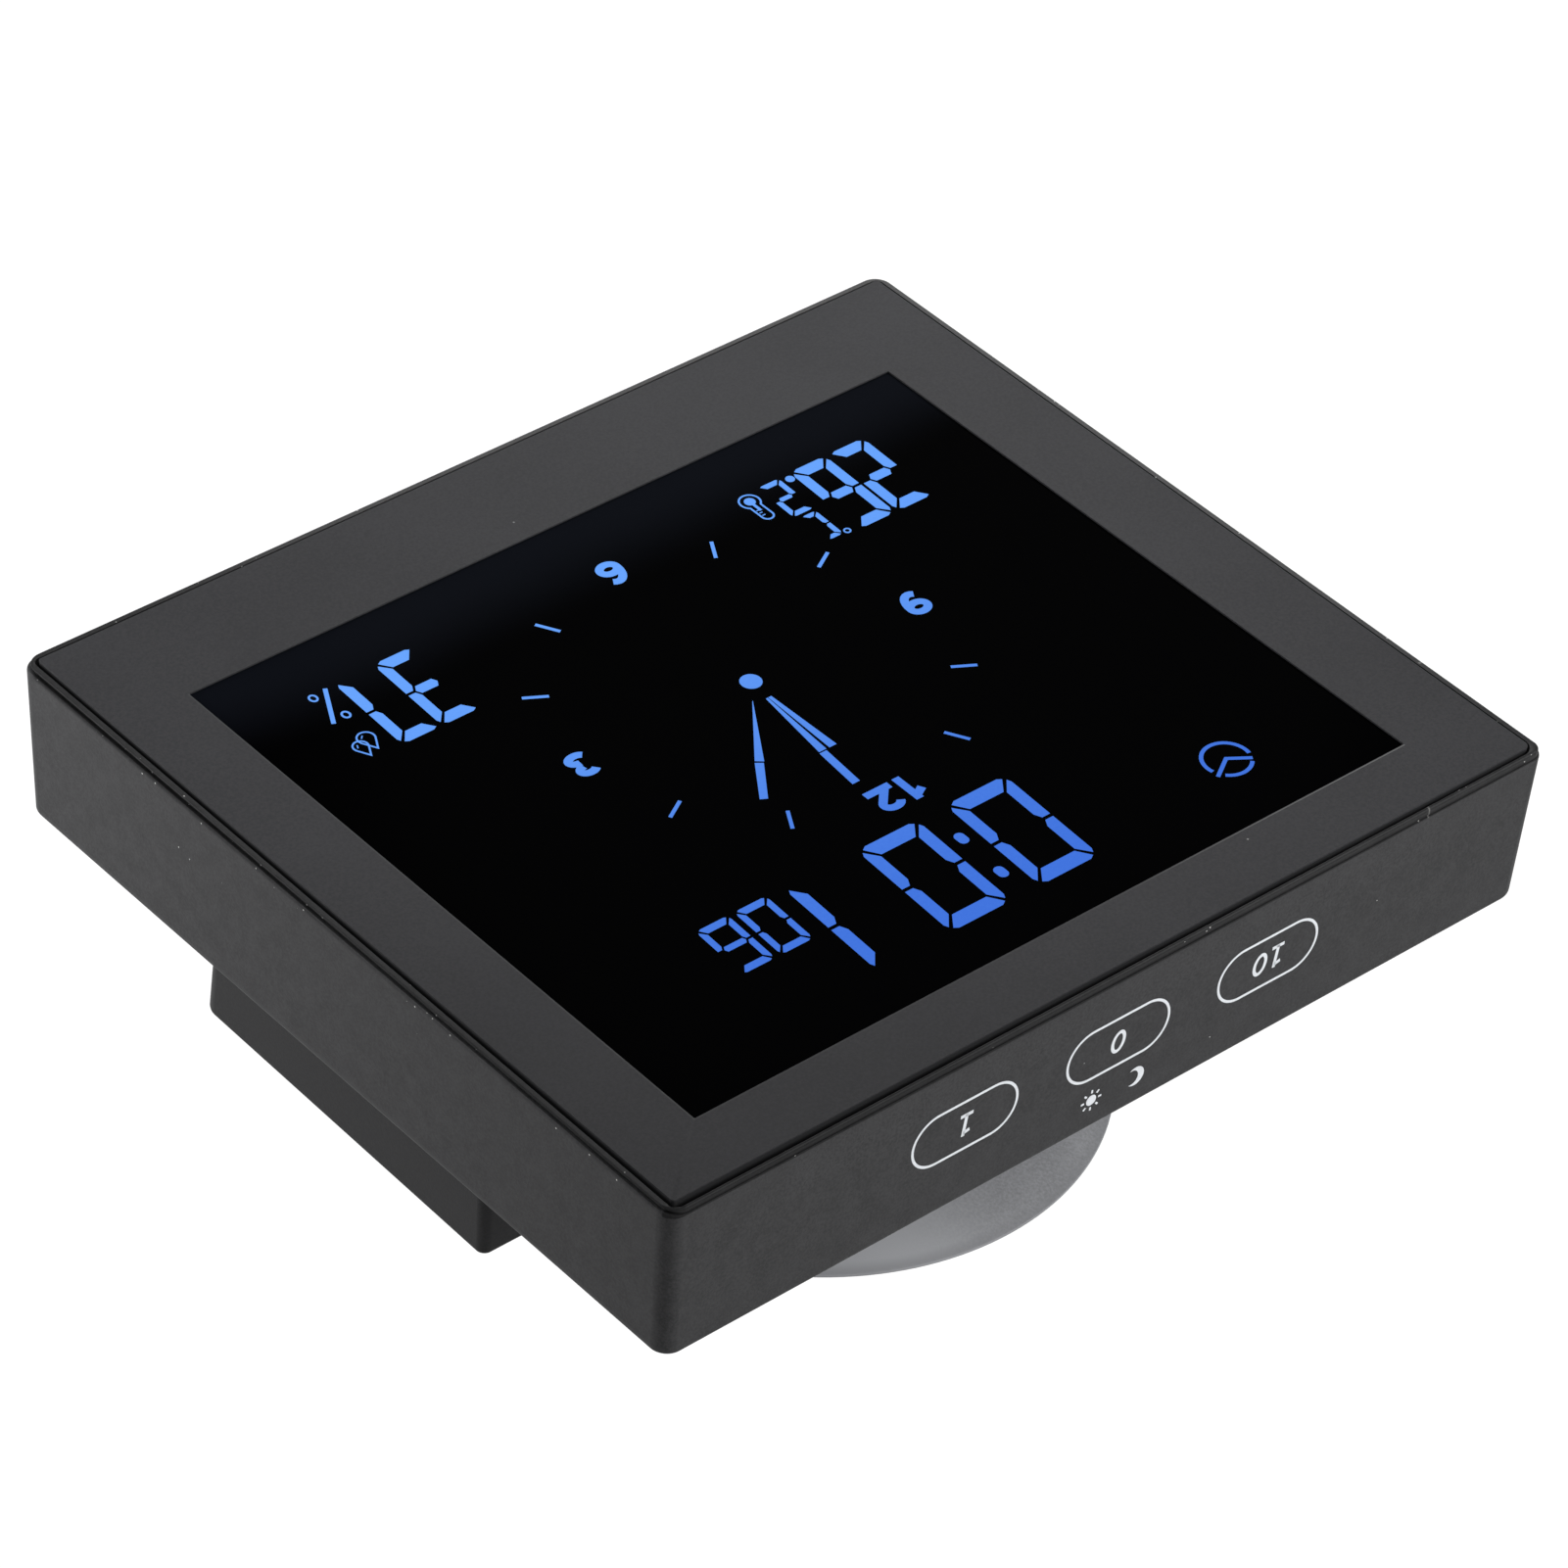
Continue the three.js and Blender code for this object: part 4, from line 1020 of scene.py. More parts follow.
@dataclass(frozen=True)
class Palette:
    """Every finish of the clock."""

    case: CasePlastic = CasePlastic("case_satin", linear(48, 48, 49), mottling=0.3, specular=0.09)
    back: Finish = Finish("back_satin", linear(36, 36, 37), grain=0.2, specular=0.09)
    bezel: BezelPrint = BezelPrint(
        "bezel_matte", linear(46, 46, 48), roughness=0.62, mottling=0.2, depth=0.006, specular=0.1)
    window: WindowBlack = WindowBlack(
        "window_black", (0.0006, 0.0006, 0.0007), roughness=0.12, specular=0.0004)
    lit: LitShape = LitShape("display_blue", (0.1, 0.25, 0.7), roughness=0.5, specular=0.0)
    key_ink: Finish = Finish("key_ink", linear(204, 207, 211), roughness=0.6, mottling=0.03)
    rubber: FrostedRubber = FrostedRubber(
        "cup_frosted", linear(140, 141, 144), roughness=0.62, mottling=0.2, centre=(0.0, 7.5))
    seal: Finish = Finish("seal_black", linear(26, 26, 27), roughness=0.8)
    white: Finish = Finish("white_satin", linear(226, 226, 222), roughness=0.5, mottling=0.03)
    black: Finish = Finish("chip_black", linear(26, 26, 28), grain=0.12)
    foam: Finish = Finish("foam_grey", linear(44, 44, 46), roughness=0.95, grain=0.3, depth=0.08)
    steel: BrushedMetal = BrushedMetal(
        "plated_steel", (0.56, 0.57, 0.58), roughness=0.3, mottling=0.15, depth=0.002)
    spring: BrushedMetal = BrushedMetal(
        "spring_steel", (0.62, 0.62, 0.62), roughness=0.24, mottling=0.1, depth=0.001)
    mask: SolderMask = SolderMask("solder_mask", (0.018, 0.12, 0.05), roughness=0.35, depth=0.03)
    zebra: Striped = Striped(
        "zebra_rubber", (0.02, 0.02, 0.02), roughness=0.7, stripe=(0.4, 0.4, 0.4))
    ribbon: Striped = Striped(
        "ribbon_film", (0.5, 0.5, 0.5), roughness=0.45, stripe=(0.75, 0.75, 0.75), pitch=1.0)
    red: Finish = Finish("lead_red", linear(160, 30, 30), roughness=0.45, mottling=0.05)
    dark: Finish = Finish("lead_black", linear(24, 24, 24), roughness=0.45)
    plug: Finish = Finish("plug_grey", linear(74, 75, 78), roughness=0.5)
    clear: Finish = Finish("display_glass", linear(120, 132, 142), roughness=0.1, mottling=0.02,
                           specular=0.5, depth=0.0005)
    guide: Finish = Finish("guide_milky", linear(238, 243, 246), roughness=0.3, mottling=0.01)


PALETTE = Palette()
FOUR_SIGNS = ((1, 1), (-1, 1), (-1, -1), (1, -1))


def crease_edges(mesh: Mesh, angle: float) -> None:
    """Shades a mesh smooth, apart from edges sharper than an angle."""
    with opened(mesh) as work:
        for face in work.faces:
            face.smooth = True
        for edge in work.edges:
            edge.smooth = len(edge.link_faces) == 2 and edge.calc_face_angle() < angle


def fit(name: str, source: Form | Mesh, finish: Finish, fitting: Fitting,
        crease: float = CREASE) -> bpy.types.Object:
    """Makes a piece of a mesh and fits it to the frame.

    Args:
        name: Name of the piece.
        source: Its form in millimetres or its mesh in metres.
        finish: Its finish.
        fitting: Where it belongs.
        crease: Edges sharper than this angle stay sharp.

    Returns:
        The fitted piece.
    """
    mesh = source.mesh(name) if isinstance(source, Form) else source
    mesh.materials.clear()
    mesh.materials.append(finish.material())
    crease_edges(mesh, crease)
    piece = held(mesh)
    piece.name = name
    weigh = piece.modifiers.new("even_shading", "WEIGHTED_NORMAL")
    weigh.keep_sharp = True
    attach(piece, fitting.body.value)
    if fitting.replaces:
        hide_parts(*fitting.replaces)
    LOG.info("%s: %d faces", name, len(mesh.polygons))
    return piece


class Numeral:
    """Plain numerals drawn as strokes, one unit high, their lower left corner at the origin."""

    def __init__(self, stroke: float, slab: bool = False, spread: float = 1.0) -> None:
        """Sets the width of the strokes, whether a 1 stands on a slab, and the spread sideways."""
        self.stroke = stroke
        self.slab = slab
        self.spread = spread

    def oval(self, x: float, y: float, half: Flat, start: float, end: float) -> list[Flat]:
        """Gives an arc whose steps turn by about 12 degrees."""
        return arc(x, y, half, start, end, max(8, int(abs(end - start) / 12)))

    def lines(self, mark: str) -> tuple[float, list[list[Flat]]]:
        """Gives a numeral's width and its lines."""
        half = self.stroke / 2
        if mark == "0":
            return 0.62, [self.oval(0.31, 0.5, (0.31 - half, 0.5 - half), 0, 360)]
        if mark == "1":
            stem = [(0.3, 0.0), (0.3, 1.0)]
            if not self.slab:
                return 0.42, [stem, [(0.3, 0.86), (0.05, 0.68)]]
            foot = [(0.04, half * 0.64), (0.56, half * 0.64)]
            return 0.58, [stem, [(0.3, 0.86), (0.05, 0.8)], foot]
        if mark == "2":
            bow = self.oval(0.32, 0.7, (0.32 - half, 0.3 - half), 165, -38)
            return 0.64, [[*bow, (half + 0.02, half)], [(0.0, half), (0.64, half)]]
        if mark == "3":
            upper = self.oval(0.3, 0.735, (0.3 - half, 0.265 - half), 150, -80)
            lower = self.oval(0.3, 0.275, (0.32 - half, 0.275 - half), 88, -152)
            return 0.62, [upper, lower]
        lines = [self.oval(0.32, 0.32, (0.32 - half, 0.32 - half), 0, 360),
                 self.oval(0.38, 0.34, (0.38 - half, 0.66 - half), 180, 62)]
        if mark == "9":
            lines = [[(0.64 - x, 1 - y) for x, y in line] for line in lines]
        return 0.64, lines

    def text(self, marks: str, height: float, low: float, high: float, lean: float = 0.0) -> Form:
        """Draws numerals in a row, centred on the origin.

        Args:
            marks: The numerals.
            height: Their height.
            low: Lower level of the plates.
            high: Upper level of the plates.
            lean: Lean to the right.

        Returns:
            The plates.
        """
        shapes, start = [], 0.0
        for mark in marks:
            width, lines = self.lines(mark)
            for line in lines:
                closed = math.dist(line[0], line[-1]) < MERGE_MM
                path = [((start + x * self.spread + lean * (y - 0.5)) * height, (y - 0.5) * height)
                        for x, y in line]
                path = path[:-1] if closed else path
                shapes.append(Form().stroke(path, self.stroke * height, low, high, closed))
            start += width * self.spread + 0.13
        return moved(joined(shapes), -(start - 0.13) * height / 2, 0.0)


def joined(forms: Iterable[Form]) -> Form:
    """Gathers several forms in one."""
    whole = Form()
    for form in forms:
        start = len(whole.points)
        whole.points.extend(form.points)
        whole.faces.extend([start + index for index in face] for face in form.faces)
    return whole


def moved(form: Form, x: float, y: float) -> Form:
    """Shifts a form in plan."""
    return form.bent(lambda point: (point[0] + x, point[1] + y, point[2]))


@dataclass
class ClockCase:
    """Case: four leaning walls under a smooth rim, a ledge for the panel, and screw posts.

    A level of the channel under the rim gives the inset of three sides, the inset of the side with
    the keys, its height and how much lower that side lies. An edge of the rim's front gives its
    inset, how far it turns inwards, its level and how far it rises.
    """

    rear_z: float = 25.4
    front_z: float = 45.7
    wall_top: float = 44.75
    half_width: float = 60.0
    corner: float = 2.0
    rear_corner: float = 1.6
    rear_inset: float = 0.6
    lean: float = 0.48
    rear_round: float = 0.6
    side_round: float = 0.95
    rear_lip: float = 1.8
    rim_width: float = 1.0
    upper_rim: float = 0.44
    drop_ease: float = 0.4
    channel: Sequence[Level] = (
        (0.03, 0.05, 44.75, 0.35), (0.05, 0.06, 44.95, 0.5), (0.08, 0.07, 45.05, 0.58),
        (0.14, 0.08, 45.12, 0.62), (0.24, 0.1, 45.15, 0.63), (0.5, 0.18, 45.16, 0.62),
        (0.5, 0.18, 45.55, 0.75), (0.36, 0.1, 45.56, 0.74), (0.32, 0.06, 45.58, 0.72))
    side_edge: Level = (0.32, 0.12, 45.6, 0.1)
    upper_edge: Level = (0.04, 0.26, 45.32, 0.38)
    panel_edge: Sequence[Flat] = ((0.09, 0.0), (0.03, 0.03), (0.0, 0.1))
    panel_corner: float = 0.8
    panel_left: float = 0.8
    left_turn: float = -0.9
    ledge_z: Flat = (42.15, 43.55)
    ledge_corner: float = 1.2
    shoulder_z: float = 28.3
    hollow_corner: float = 1.0
    wall: float = 3.0
    carrier_gap: float = 0.2
    post_z: Flat = (27.45, 36.25)
    post_size: float = 6.0
    post_hole: Point = (1.15, 25.0, 32.8)
    boss_z: Flat = (37.9, 42.85)
    boss_length: float = 7.0
    boss_hole: Point = (0.95, 34.0, 41.0)
    body: Rect = field(default_factory=lambda: Rect.of_node("case_shell"))

    def ring(self, side: float, upper: float, z: float, corner: float | None = None,
             drop: float = 0.0, left: float | None = None) -> list[Point]:
        """Draws one level of the wall.

        Args:
            side: Inset of the three plain sides from the body's outline.
            upper: Inset of the side with the keys.
            z: Level.
            corner: Corner radius, where it isn't the case's own.
            drop: How much lower the side with the keys lies.
            left: How much rounder the upper left corner is, where it isn't the case's own.

        Returns:
            The ring.
        """
        if left is None:
            left = self.left_turn * limited((z - self.rear_z) / (self.wall_top - self.rear_z))
        outline = self.body.grown(-side, -upper)
        points = outline.rounded(self.corner if corner is None else corner, left=left)
        shares = [limited(1 - (outline.y_high - y) / self.corner) for _, y in points]
        return [(x, y, z - drop * share ** 2
                 * (1 - self.drop_ease * max(0.0, x / self.half_width) ** 2))
                for (x, y), share in zip(points, shares)]

    def outside(self) -> list[list[Point]]:
        """Lists the rings of the wall and the rim, from the rear to the front."""
        rear = self.rear_inset + self.rear_lip
        rings = [self.ring(rear, rear, self.rear_z, self.rear_corner)]
        for inset, z in edge_steps(self.side_round, self.rear_z, 1, 10):
            below = max(0.0, self.rear_round - (z - self.rear_z))
            upper = self.rear_round - math.sqrt(self.rear_round ** 2 - below ** 2)
            rings.append(self.ring(self.lean + inset, self.lean + upper, z))
        rings += [self.ring(side, upper, z, drop=drop) for side, upper, z, drop in self.channel]
        for step in range(7):
            turn = step * math.pi / 12
            (side, z), (upper, upper_z) = (
                (inset + inwards * (1 - math.cos(turn)), level + rise * math.sin(turn))
                for inset, inwards, level, rise in (self.side_edge, self.upper_edge))
            rings.append(self.ring(side, upper, z, drop=z - upper_z))
        return rings

    def skin(self) -> Mesh:
        """Sweeps the wall's section round the body."""
        rings = self.outside()
        ledge_low, ledge_high = self.ledge_z
        for out, down in (*self.panel_edge, (0.0, self.front_z - ledge_high)):
            rings.append(self.ring(self.rim_width - out, self.upper_rim - out, self.front_z - down,
                                   self.panel_corner + out, left=self.panel_left))
        opening = Rect.of_node("lcd_carrier").grown(self.carrier_gap)
        hollow = self.body.grown(-self.rear_inset - self.wall)
        rear_opening = self.body.grown(-self.rear_inset - self.rear_lip)
        rings += [raised(rect.rounded(corner), z) for rect, corner, z in (
            (opening, self.ledge_corner, ledge_high), (opening, self.ledge_corner, ledge_low),
            (hollow, self.hollow_corner, ledge_low), (hollow, self.hollow_corner, self.shoulder_z),
            (rear_opening, self.rear_corner, self.shoulder_z))]
        return Form().stack(rings, looped=True).mesh("clock_case")

    def tools(self) -> list[tuple[Carve, Form]]:
        """Lists the posts and bosses to join, and then the holes to cut."""
        hollow = self.body.grown(-self.rear_inset - self.wall)
        boss_x = Rect.of_node("lcd_carrier").grown(self.carrier_gap).x_high
        screw_x, screw_y = Rect.of_node("board_screw_1").centre
        post_x = hollow.x_high - self.post_size / 2
        post_y = hollow.y_high - self.post_size / 2
        joins, cuts = [], []
        for sign_x, sign_y in FOUR_SIGNS:
            x, y = sign_x * post_x, sign_y * post_y
            wall_x = sign_x * (hollow.x_high + self.wall / 2)
            wall_y = sign_y * (hollow.y_high + self.wall / 2)
            boss_y = sign_y * screw_y
            corner = Rect(*sorted((x, wall_x)), *sorted((y, wall_y)))
            boss = Rect(*sorted((sign_x * boss_x, wall_x)),
                        boss_y - self.boss_length / 2, boss_y + self.boss_length / 2)
            joins += [Form().prism(disc(x, y, self.post_size / 2), *self.post_z),
                      Form().block(corner, self.shoulder_z, self.post_z[1]),
                      Form().block(boss, *self.boss_z)]
            for place, (radius, *ends) in (((x, y), self.post_hole),
                                           ((sign_x * screw_x, boss_y), self.boss_hole)):
                cuts.append(Form().prism(disc(*place, radius), *ends))
        return [(Carve.JOIN, form) for form in joins] + [(Carve.CUT, form) for form in cuts]

    def build(self) -> None:
        """Builds and fits the case."""
        mesh = carved(self.skin(), self.tools())
        fit("clock_case", mesh, PALETTE.case, on_clock(Slot.CASE, "case_shell"))


@dataclass
class FrontPanel:
    """Matte border, black window and the thin plates of the display behind them."""

    bevel: float = 0.06
    corner: float = 0.45
    left: float = 0.35
    window_corner: float = 0.15
    upper_reach: float = 0.38
    upper_slant: float = 0.15
    slant_reach: float = 50.0
    slant_from: float = 51.0
    window: Rect = WINDOW

    def slanted(self, point: Point) -> Point:
        """Turns the panel's upper edge a little, as it lies in the photograph."""
        x, y, z = point
        return x, y - self.upper_slant * x / self.slant_reach * (y > self.slant_from), z

    def bezel(self) -> Form:
        """Draws the border as a thin ring with eased edges."""
        low, high = levels("bezel_film")
        outer = Rect.of_node("bezel_film").grown(0.0, self.upper_reach)
        edge = [*edge_steps(self.bevel, high, -1), (0.0, low)]
        rings = [raised(outer.grown(-inset).rounded(self.corner - inset, left=self.left), z)
                 for inset, z in reversed(edge)]
        rings += [raised(self.window.grown(inset).rounded(self.window_corner + inset), z)
                  for inset, z in edge]
        return Form().stack(rings, looped=True).bent(self.slanted)

    def lens(self) -> Form:
        """Draws the clear plate with eased edges."""
        low, high = levels("display_lens")
        outer = Rect.of_node("display_lens").grown(0.0, self.upper_reach)
        plate = Form().pillow(outer, self.corner, low, high, self.bevel, self.left)
        return plate.bent(self.slanted)

    def build(self) -> None:
        """Builds and fits the panel."""
        fit("front_border", self.bezel(), PALETTE.bezel, on_clock(Slot.BEZEL, "bezel_film"))
        fit("front_window", self.lens(), PALETTE.window, on_clock(Slot.WINDOW, "display_lens"))


@dataclass(frozen=True)
class FigureStyle:
    """Sizes of a seven-bar figure."""

    width: float
    height: float
    level_bar: float
    upright_bar: float
    gap: float
    lean: float = 0.045


@dataclass
class Display:
    """Lit shapes of the display, on the window's face."""

    window: Rect = SCREEN
    shift: Flat = (-0.12, -0.09)
    levels: Flat = (45.74, 45.775)
    dial: Flat = (0.4986, 0.5951)
    big: FigureStyle = FigureStyle(8.2, 15.5, 1.98, 1.52, 0.5)
    small: FigureStyle = FigureStyle(4.26, 7.9, 0.95, 0.76, 0.36)
    reading: FigureStyle = FigureStyle(5.15, 12.4, 1.58, 1.3, 0.42, 0.036)
    tenth: FigureStyle = FigureStyle(2.97, 6.35, 0.76, 0.67, 0.28, 0.036)
    unit: FigureStyle = FigureStyle(2.08, 4.9, 0.64, 0.64, 0.26, 0.036)

    def at(self, u: float, v: float) -> Flat:
        """Turns shares of the window, from its upper left corner, into a place."""
        width = self.window.x_high - self.window.x_low
        height = self.window.y_high - self.window.y_low
        return (self.window.x_low + u * width + self.shift[0],
                self.window.y_high - v * height + self.shift[1])

    def plate(self, outline: Sequence[Flat]) -> Form:
        """Cuts a thin lit plate."""
        return Form().prism(outline, *self.levels)

    def bars(self, style: FigureStyle) -> dict[Bar, list[Flat]]:
        """Draws the outline of each bar of a figure, upright, from its lower left corner."""
        w, h, a, b, g = style.width, style.height, style.level_bar, style.upright_bar, style.gap / 2
        part_a, part_b = 0.22 * a, 0.22 * b
        ease = 0.35 * b
        mid, half = h / 2, a * 0.42
        top = [(ease + part_b + g, h), (w - ease - part_b - g, h),
               (w - part_b - g, h - part_a + g * 0.4), (w - b - g, h - a), (b + g, h - a),
               (part_b + g, h - part_a + g * 0.4)]
        upper_right = [(w - part_b + g * 0.3, h - part_a - g), (w, h - part_a - ease - g),
                       (w, mid + g), (w - 0.7 * b, mid + g), (w - b, mid + a * 0.45 + g),
                       (w - b, h - a - g)]
        lower_right = [(x, h - y) for x, y in upper_right]
        middle = [(b * 0.72 + g, mid), (b + g, mid + half), (w - b - g, mid + half),
                  (w - b * 0.72 - g, mid), (w - b - g, mid - half), (b + g, mid - half)]
        return {
            Bar.TOP: top,
            Bar.BOTTOM: [(x, h - y) for x, y in top],
            Bar.MIDDLE: middle,
            Bar.UPPER_RIGHT: upper_right,
            Bar.LOWER_RIGHT: lower_right,
            Bar.UPPER_LEFT: [(w - x, y) for x, y in upper_right],
            Bar.LOWER_LEFT: [(w - x, y) for x, y in lower_right],
        }

    def figure(self, mark: str, u: float, v: float, style: FigureStyle) -> Form:
        """Draws a seven-bar figure, its lower left corner at shares u and v of the window."""
        x0, y0 = self.at(u, v)
        bars = self.bars(style)
        return joined(self.plate([(x0 + x + y * style.lean, y0 + y) for x, y in bars[bar]])
                      for bar in Bar if mark in bar.value)

    def figures(self, style: FigureStyle, v: float, *places: tuple[str, float]) -> Form:
        """Draws figures of one style on one line, each with its share across the window."""
        return joined(self.figure(mark, u, v, style) for mark, u in places)

    def line(self, path: Sequence[Flat], width: float, closed: bool = False) -> Form:
        """Draws a lit stroke along a line of places."""
        return Form().stroke(path, width, *self.levels, closed)

    def time_figures(self) -> Form:
        """Draws the time, with its colon and seconds."""
        dots = []
        for u, v in ((0.4942, 0.1198), (0.4912, 0.1980)):
            x, y = self.at(u, v)
            dots.append(self.plate(Rect(x - 0.62, x + 0.62, y - 0.9, y + 0.9).rounded(0.6)))
        return joined([
            self.figures(self.big, 0.2584, ("0", 0.3843), ("0", 0.5096), ("1", 0.6118)),
            self.figures(self.small, 0.2594, ("0", 0.7192), ("6", 0.7713)), *dots])

    def alarm_sign(self) -> Form:
        """Draws the small round clock sign."""
        x, y = self.at(0.172, 0.1134)
        lines = (arc(x, y, (2.7, 2.7), 44, 136), arc(x, y, (2.7, 2.7), 166, 374),
                 [(x - 2.35, y + 1.48), (x, y - 0.1), (x + 2.75, y + 1.6)])
        return joined(self.line(path, 0.46) for path in lines)

    def temperature(self) -> Form:
        """Draws the temperature with its unit and a thermometer."""
        x, y = self.at(0.2900, 0.888)
        neck, bulb = 0.72, 1.22
        start = 90 - math.degrees(math.asin(neck / bulb))
        side = math.sqrt(bulb * bulb - neck * neck)
        top = self.at(0.29, 0.8435)[1]
        outline = [
            *arc(x, y, (bulb, bulb), 180 - start, 360 + start), (x + neck, y + side),
            (x + neck, top - neck), *arc(x, top - neck, (neck, neck), 0, 180), (x - neck, y + side)]
        marks = [self.line([(x + 0.08, level), (x + 0.5, level)], 0.13)
                 for level in (top - 0.95, top - 1.45, top - 1.95)]
        dot = self.at(0.2256, 0.8947)
        ring = self.at(0.2362, 0.7636)
        return joined([
            self.figures(self.reading, 0.9062, ("2", 0.1083), ("6", 0.1654)),
            self.figure("2", 0.2360, 0.9045, self.tenth),
            self.figure("C", 0.2412, 0.8215, self.unit),
            self.plate(disc(*dot, 0.55)), self.line(disc(*ring, 0.36, 20), 0.2, closed=True),
            self.line(outline, 0.22, closed=True), self.plate(disc(x, y, 0.66)),
            self.line([(x, y), (x, y + 1.9)], 0.36), *marks])

    def drop(self, x: float, y: float, radius: float, height: float) -> list[Flat]:
        """Draws the outline of a water drop round a centre."""
        return [(x, y + height), *arc(x, y, (radius, radius), 150, 390)]

    def humidity(self) -> Form:
        """Draws the humidity with its sign and two drops."""
        left, right = self.at(0.8937, 0.7974), self.at(0.9069, 0.7884)
        first, second = self.at(0.8865, 0.8499), self.at(0.8979, 0.9006)
        return joined([
            self.figures(self.reading, 0.9099, ("3", 0.7574), ("7", 0.8115)),
            self.line([self.at(0.8775, 0.9075), self.at(0.9066, 0.8445)], 0.5),
            self.line(disc(*first, 0.42, 24, 1.25), 0.24, closed=True),
            self.line(disc(*second, 0.42, 24, 1.25), 0.24, closed=True),
            self.line(self.drop(*left, 1.0, 2.05), 0.2, closed=True),
            self.line(self.drop(*right, 0.86, 1.8), 0.2, closed=True),
            self.line([(right[0] + 0.2, right[1] - 0.35), (right[0] + 0.42, right[1] + 0.1)], 0.14),
            self.line([(left[0] + 0.1, left[1] - 0.55), (left[0] + 0.45, left[1] - 0.2)], 0.14)])

    def hands(self) -> Form:
        """Draws the three hands of the dial and its centre."""
        shapes = (
            ((0.4940, 0.4332), (0.5040, 0.4332), (0.5014, 0.5568), (0.4972, 0.5568)),
            ((0.5082, 0.4337), (0.5184, 0.4337), (0.5050, 0.5565), (0.5022, 0.5568)),
            ((0.5098, 0.4312), (0.5196, 0.4312), (0.5249, 0.3601), (0.5147, 0.3601)),
            ((0.5760, 0.4612), (0.5840, 0.4688), (0.5203, 0.5622), (0.5184, 0.5638)),
            ((0.5780, 0.4592), (0.5860, 0.4660), (0.6212, 0.4072), (0.6132, 0.4020)),
        )
        plates = [self.plate([self.at(u, v) for u, v in shape]) for shape in shapes]
        return joined([*plates, self.plate(disc(*self.at(*self.dial), 1.24))])

    def numerals(self) -> Form:
        """Draws the four numerals of the dial."""
        numeral = Numeral(0.235, spread=1.3)
        places = {"12": (0.4970, 0.3128), "3": (0.7360, 0.5940), "6": (0.4970, 0.8770),
                  "9": (0.2630, 0.5930)}
        return joined(moved(numeral.text(text, 4.05, *self.levels), *self.at(*place))
                      for text, place in places.items())

    def ticks(self) -> Mesh:
        """Sets the eight ticks round the dial."""
        low, high = self.levels
        place = (*self.at(*self.dial), (low + high) / 2)
        return DialTickTree().made("dial_ticks", PALETTE.lit, at=place, Radius=23.05, Length=2.89,
                                   Width=0.42, Depth=high - low)

    def build(self) -> None:
        """Builds and fits the lit shapes."""
        fitting = on_clock(Slot.WINDOW)
        for name, form in (
            ("time_figures", self.time_figures()), ("alarm_sign", self.alarm_sign()),
            ("temperature_figures", self.temperature()), ("humidity_figures", self.humidity()),
            ("dial_hands", self.hands()), ("dial_numerals", self.numerals()),
            ("dial_ticks", self.ticks()),
        ):
            fit(name, form, PALETTE.lit, fitting)


@dataclass
class KeyPrints:
    """Ink on the upper wall: three ovals with plain numbers, and two small signs."""

    keys: Sequence[tuple[str, float]] = (("10", -21.05), ("0", -0.05), ("1", 20.85))
    level: float = 36.0
    sign_level: float = 29.45
    moon_x: float = -3.2
    sun_x: float = 2.9
    width: float = 14.35
    height: float = 6.96
    line: float = 0.32
    levels: Flat = (-0.025, 0.025)
    wall_low: Flat = (53.32, 26.0)
    wall_high: Flat = (53.74, 44.25)

    def on_wall(self, point: Point) -> Point:
        """Folds a flat print onto the wall, its top towards the rear."""
        x, up, lift = point
        z = self.level - up
        share = (z - self.wall_low[1]) / (self.wall_high[1] - self.wall_low[1])
        y = self.wall_low[0] + share * (self.wall_high[0] - self.wall_low[0])
        return x, y + lift, z

    def oval(self, x: float) -> Form:
        """Draws the outline of a key."""
        half_x, half_y = (self.width - self.line) / 2, (self.height - self.line) / 2
        path = Rect(x - half_x, x + half_x, -half_y, half_y).rounded(half_y, 16)
        path = [point for point, last in zip(path, [path[-1], *path])
                if math.dist(point, last) > MERGE_MM]
        return Form().stroke(path, self.line, *self.levels, closed=True)

    def signs(self) -> list[Form]:
        """Draws a moon and a sun."""
        y, (low, high) = self.level - self.sign_level, self.levels
        moon = [*arc(self.moon_x, y, (1.25, 1.25), 60, 300, 20),
                *arc(self.moon_x + 0.55, y, (0.98, 1.0), 282, 78, 16)]
        sun, *ends = (disc(self.sun_x, y, radius, 8 * steps)
                      for radius, steps in ((0.68, 4), (0.98, 1), (1.4, 1)))
        return [Form().prism(moon, low, high), Form().prism(sun, low, high),
                *(Form().stroke(ray, 0.24, low, high) for ray in zip(*ends))]

    def build(self) -> None:
        """Builds and fits the prints."""
        fitting = on_clock(Slot.CASE)
        ovals = joined(self.oval(x) for _, x in self.keys)
        fit("key_ovals", ovals.bent(self.on_wall), PALETTE.key_ink, fitting)
        numeral = Numeral(0.145, slab=True, spread=1.1)
        numbers = joined(moved(numeral.text(text, 2.95, *self.levels, 0.12), x, 0)
                         for text, x in self.keys)
        fit("key_numbers", numbers.bent(self.on_wall), PALETTE.key_ink, fitting)
        fit("key_signs", joined(self.signs()).bent(self.on_wall), PALETTE.key_ink, fitting)


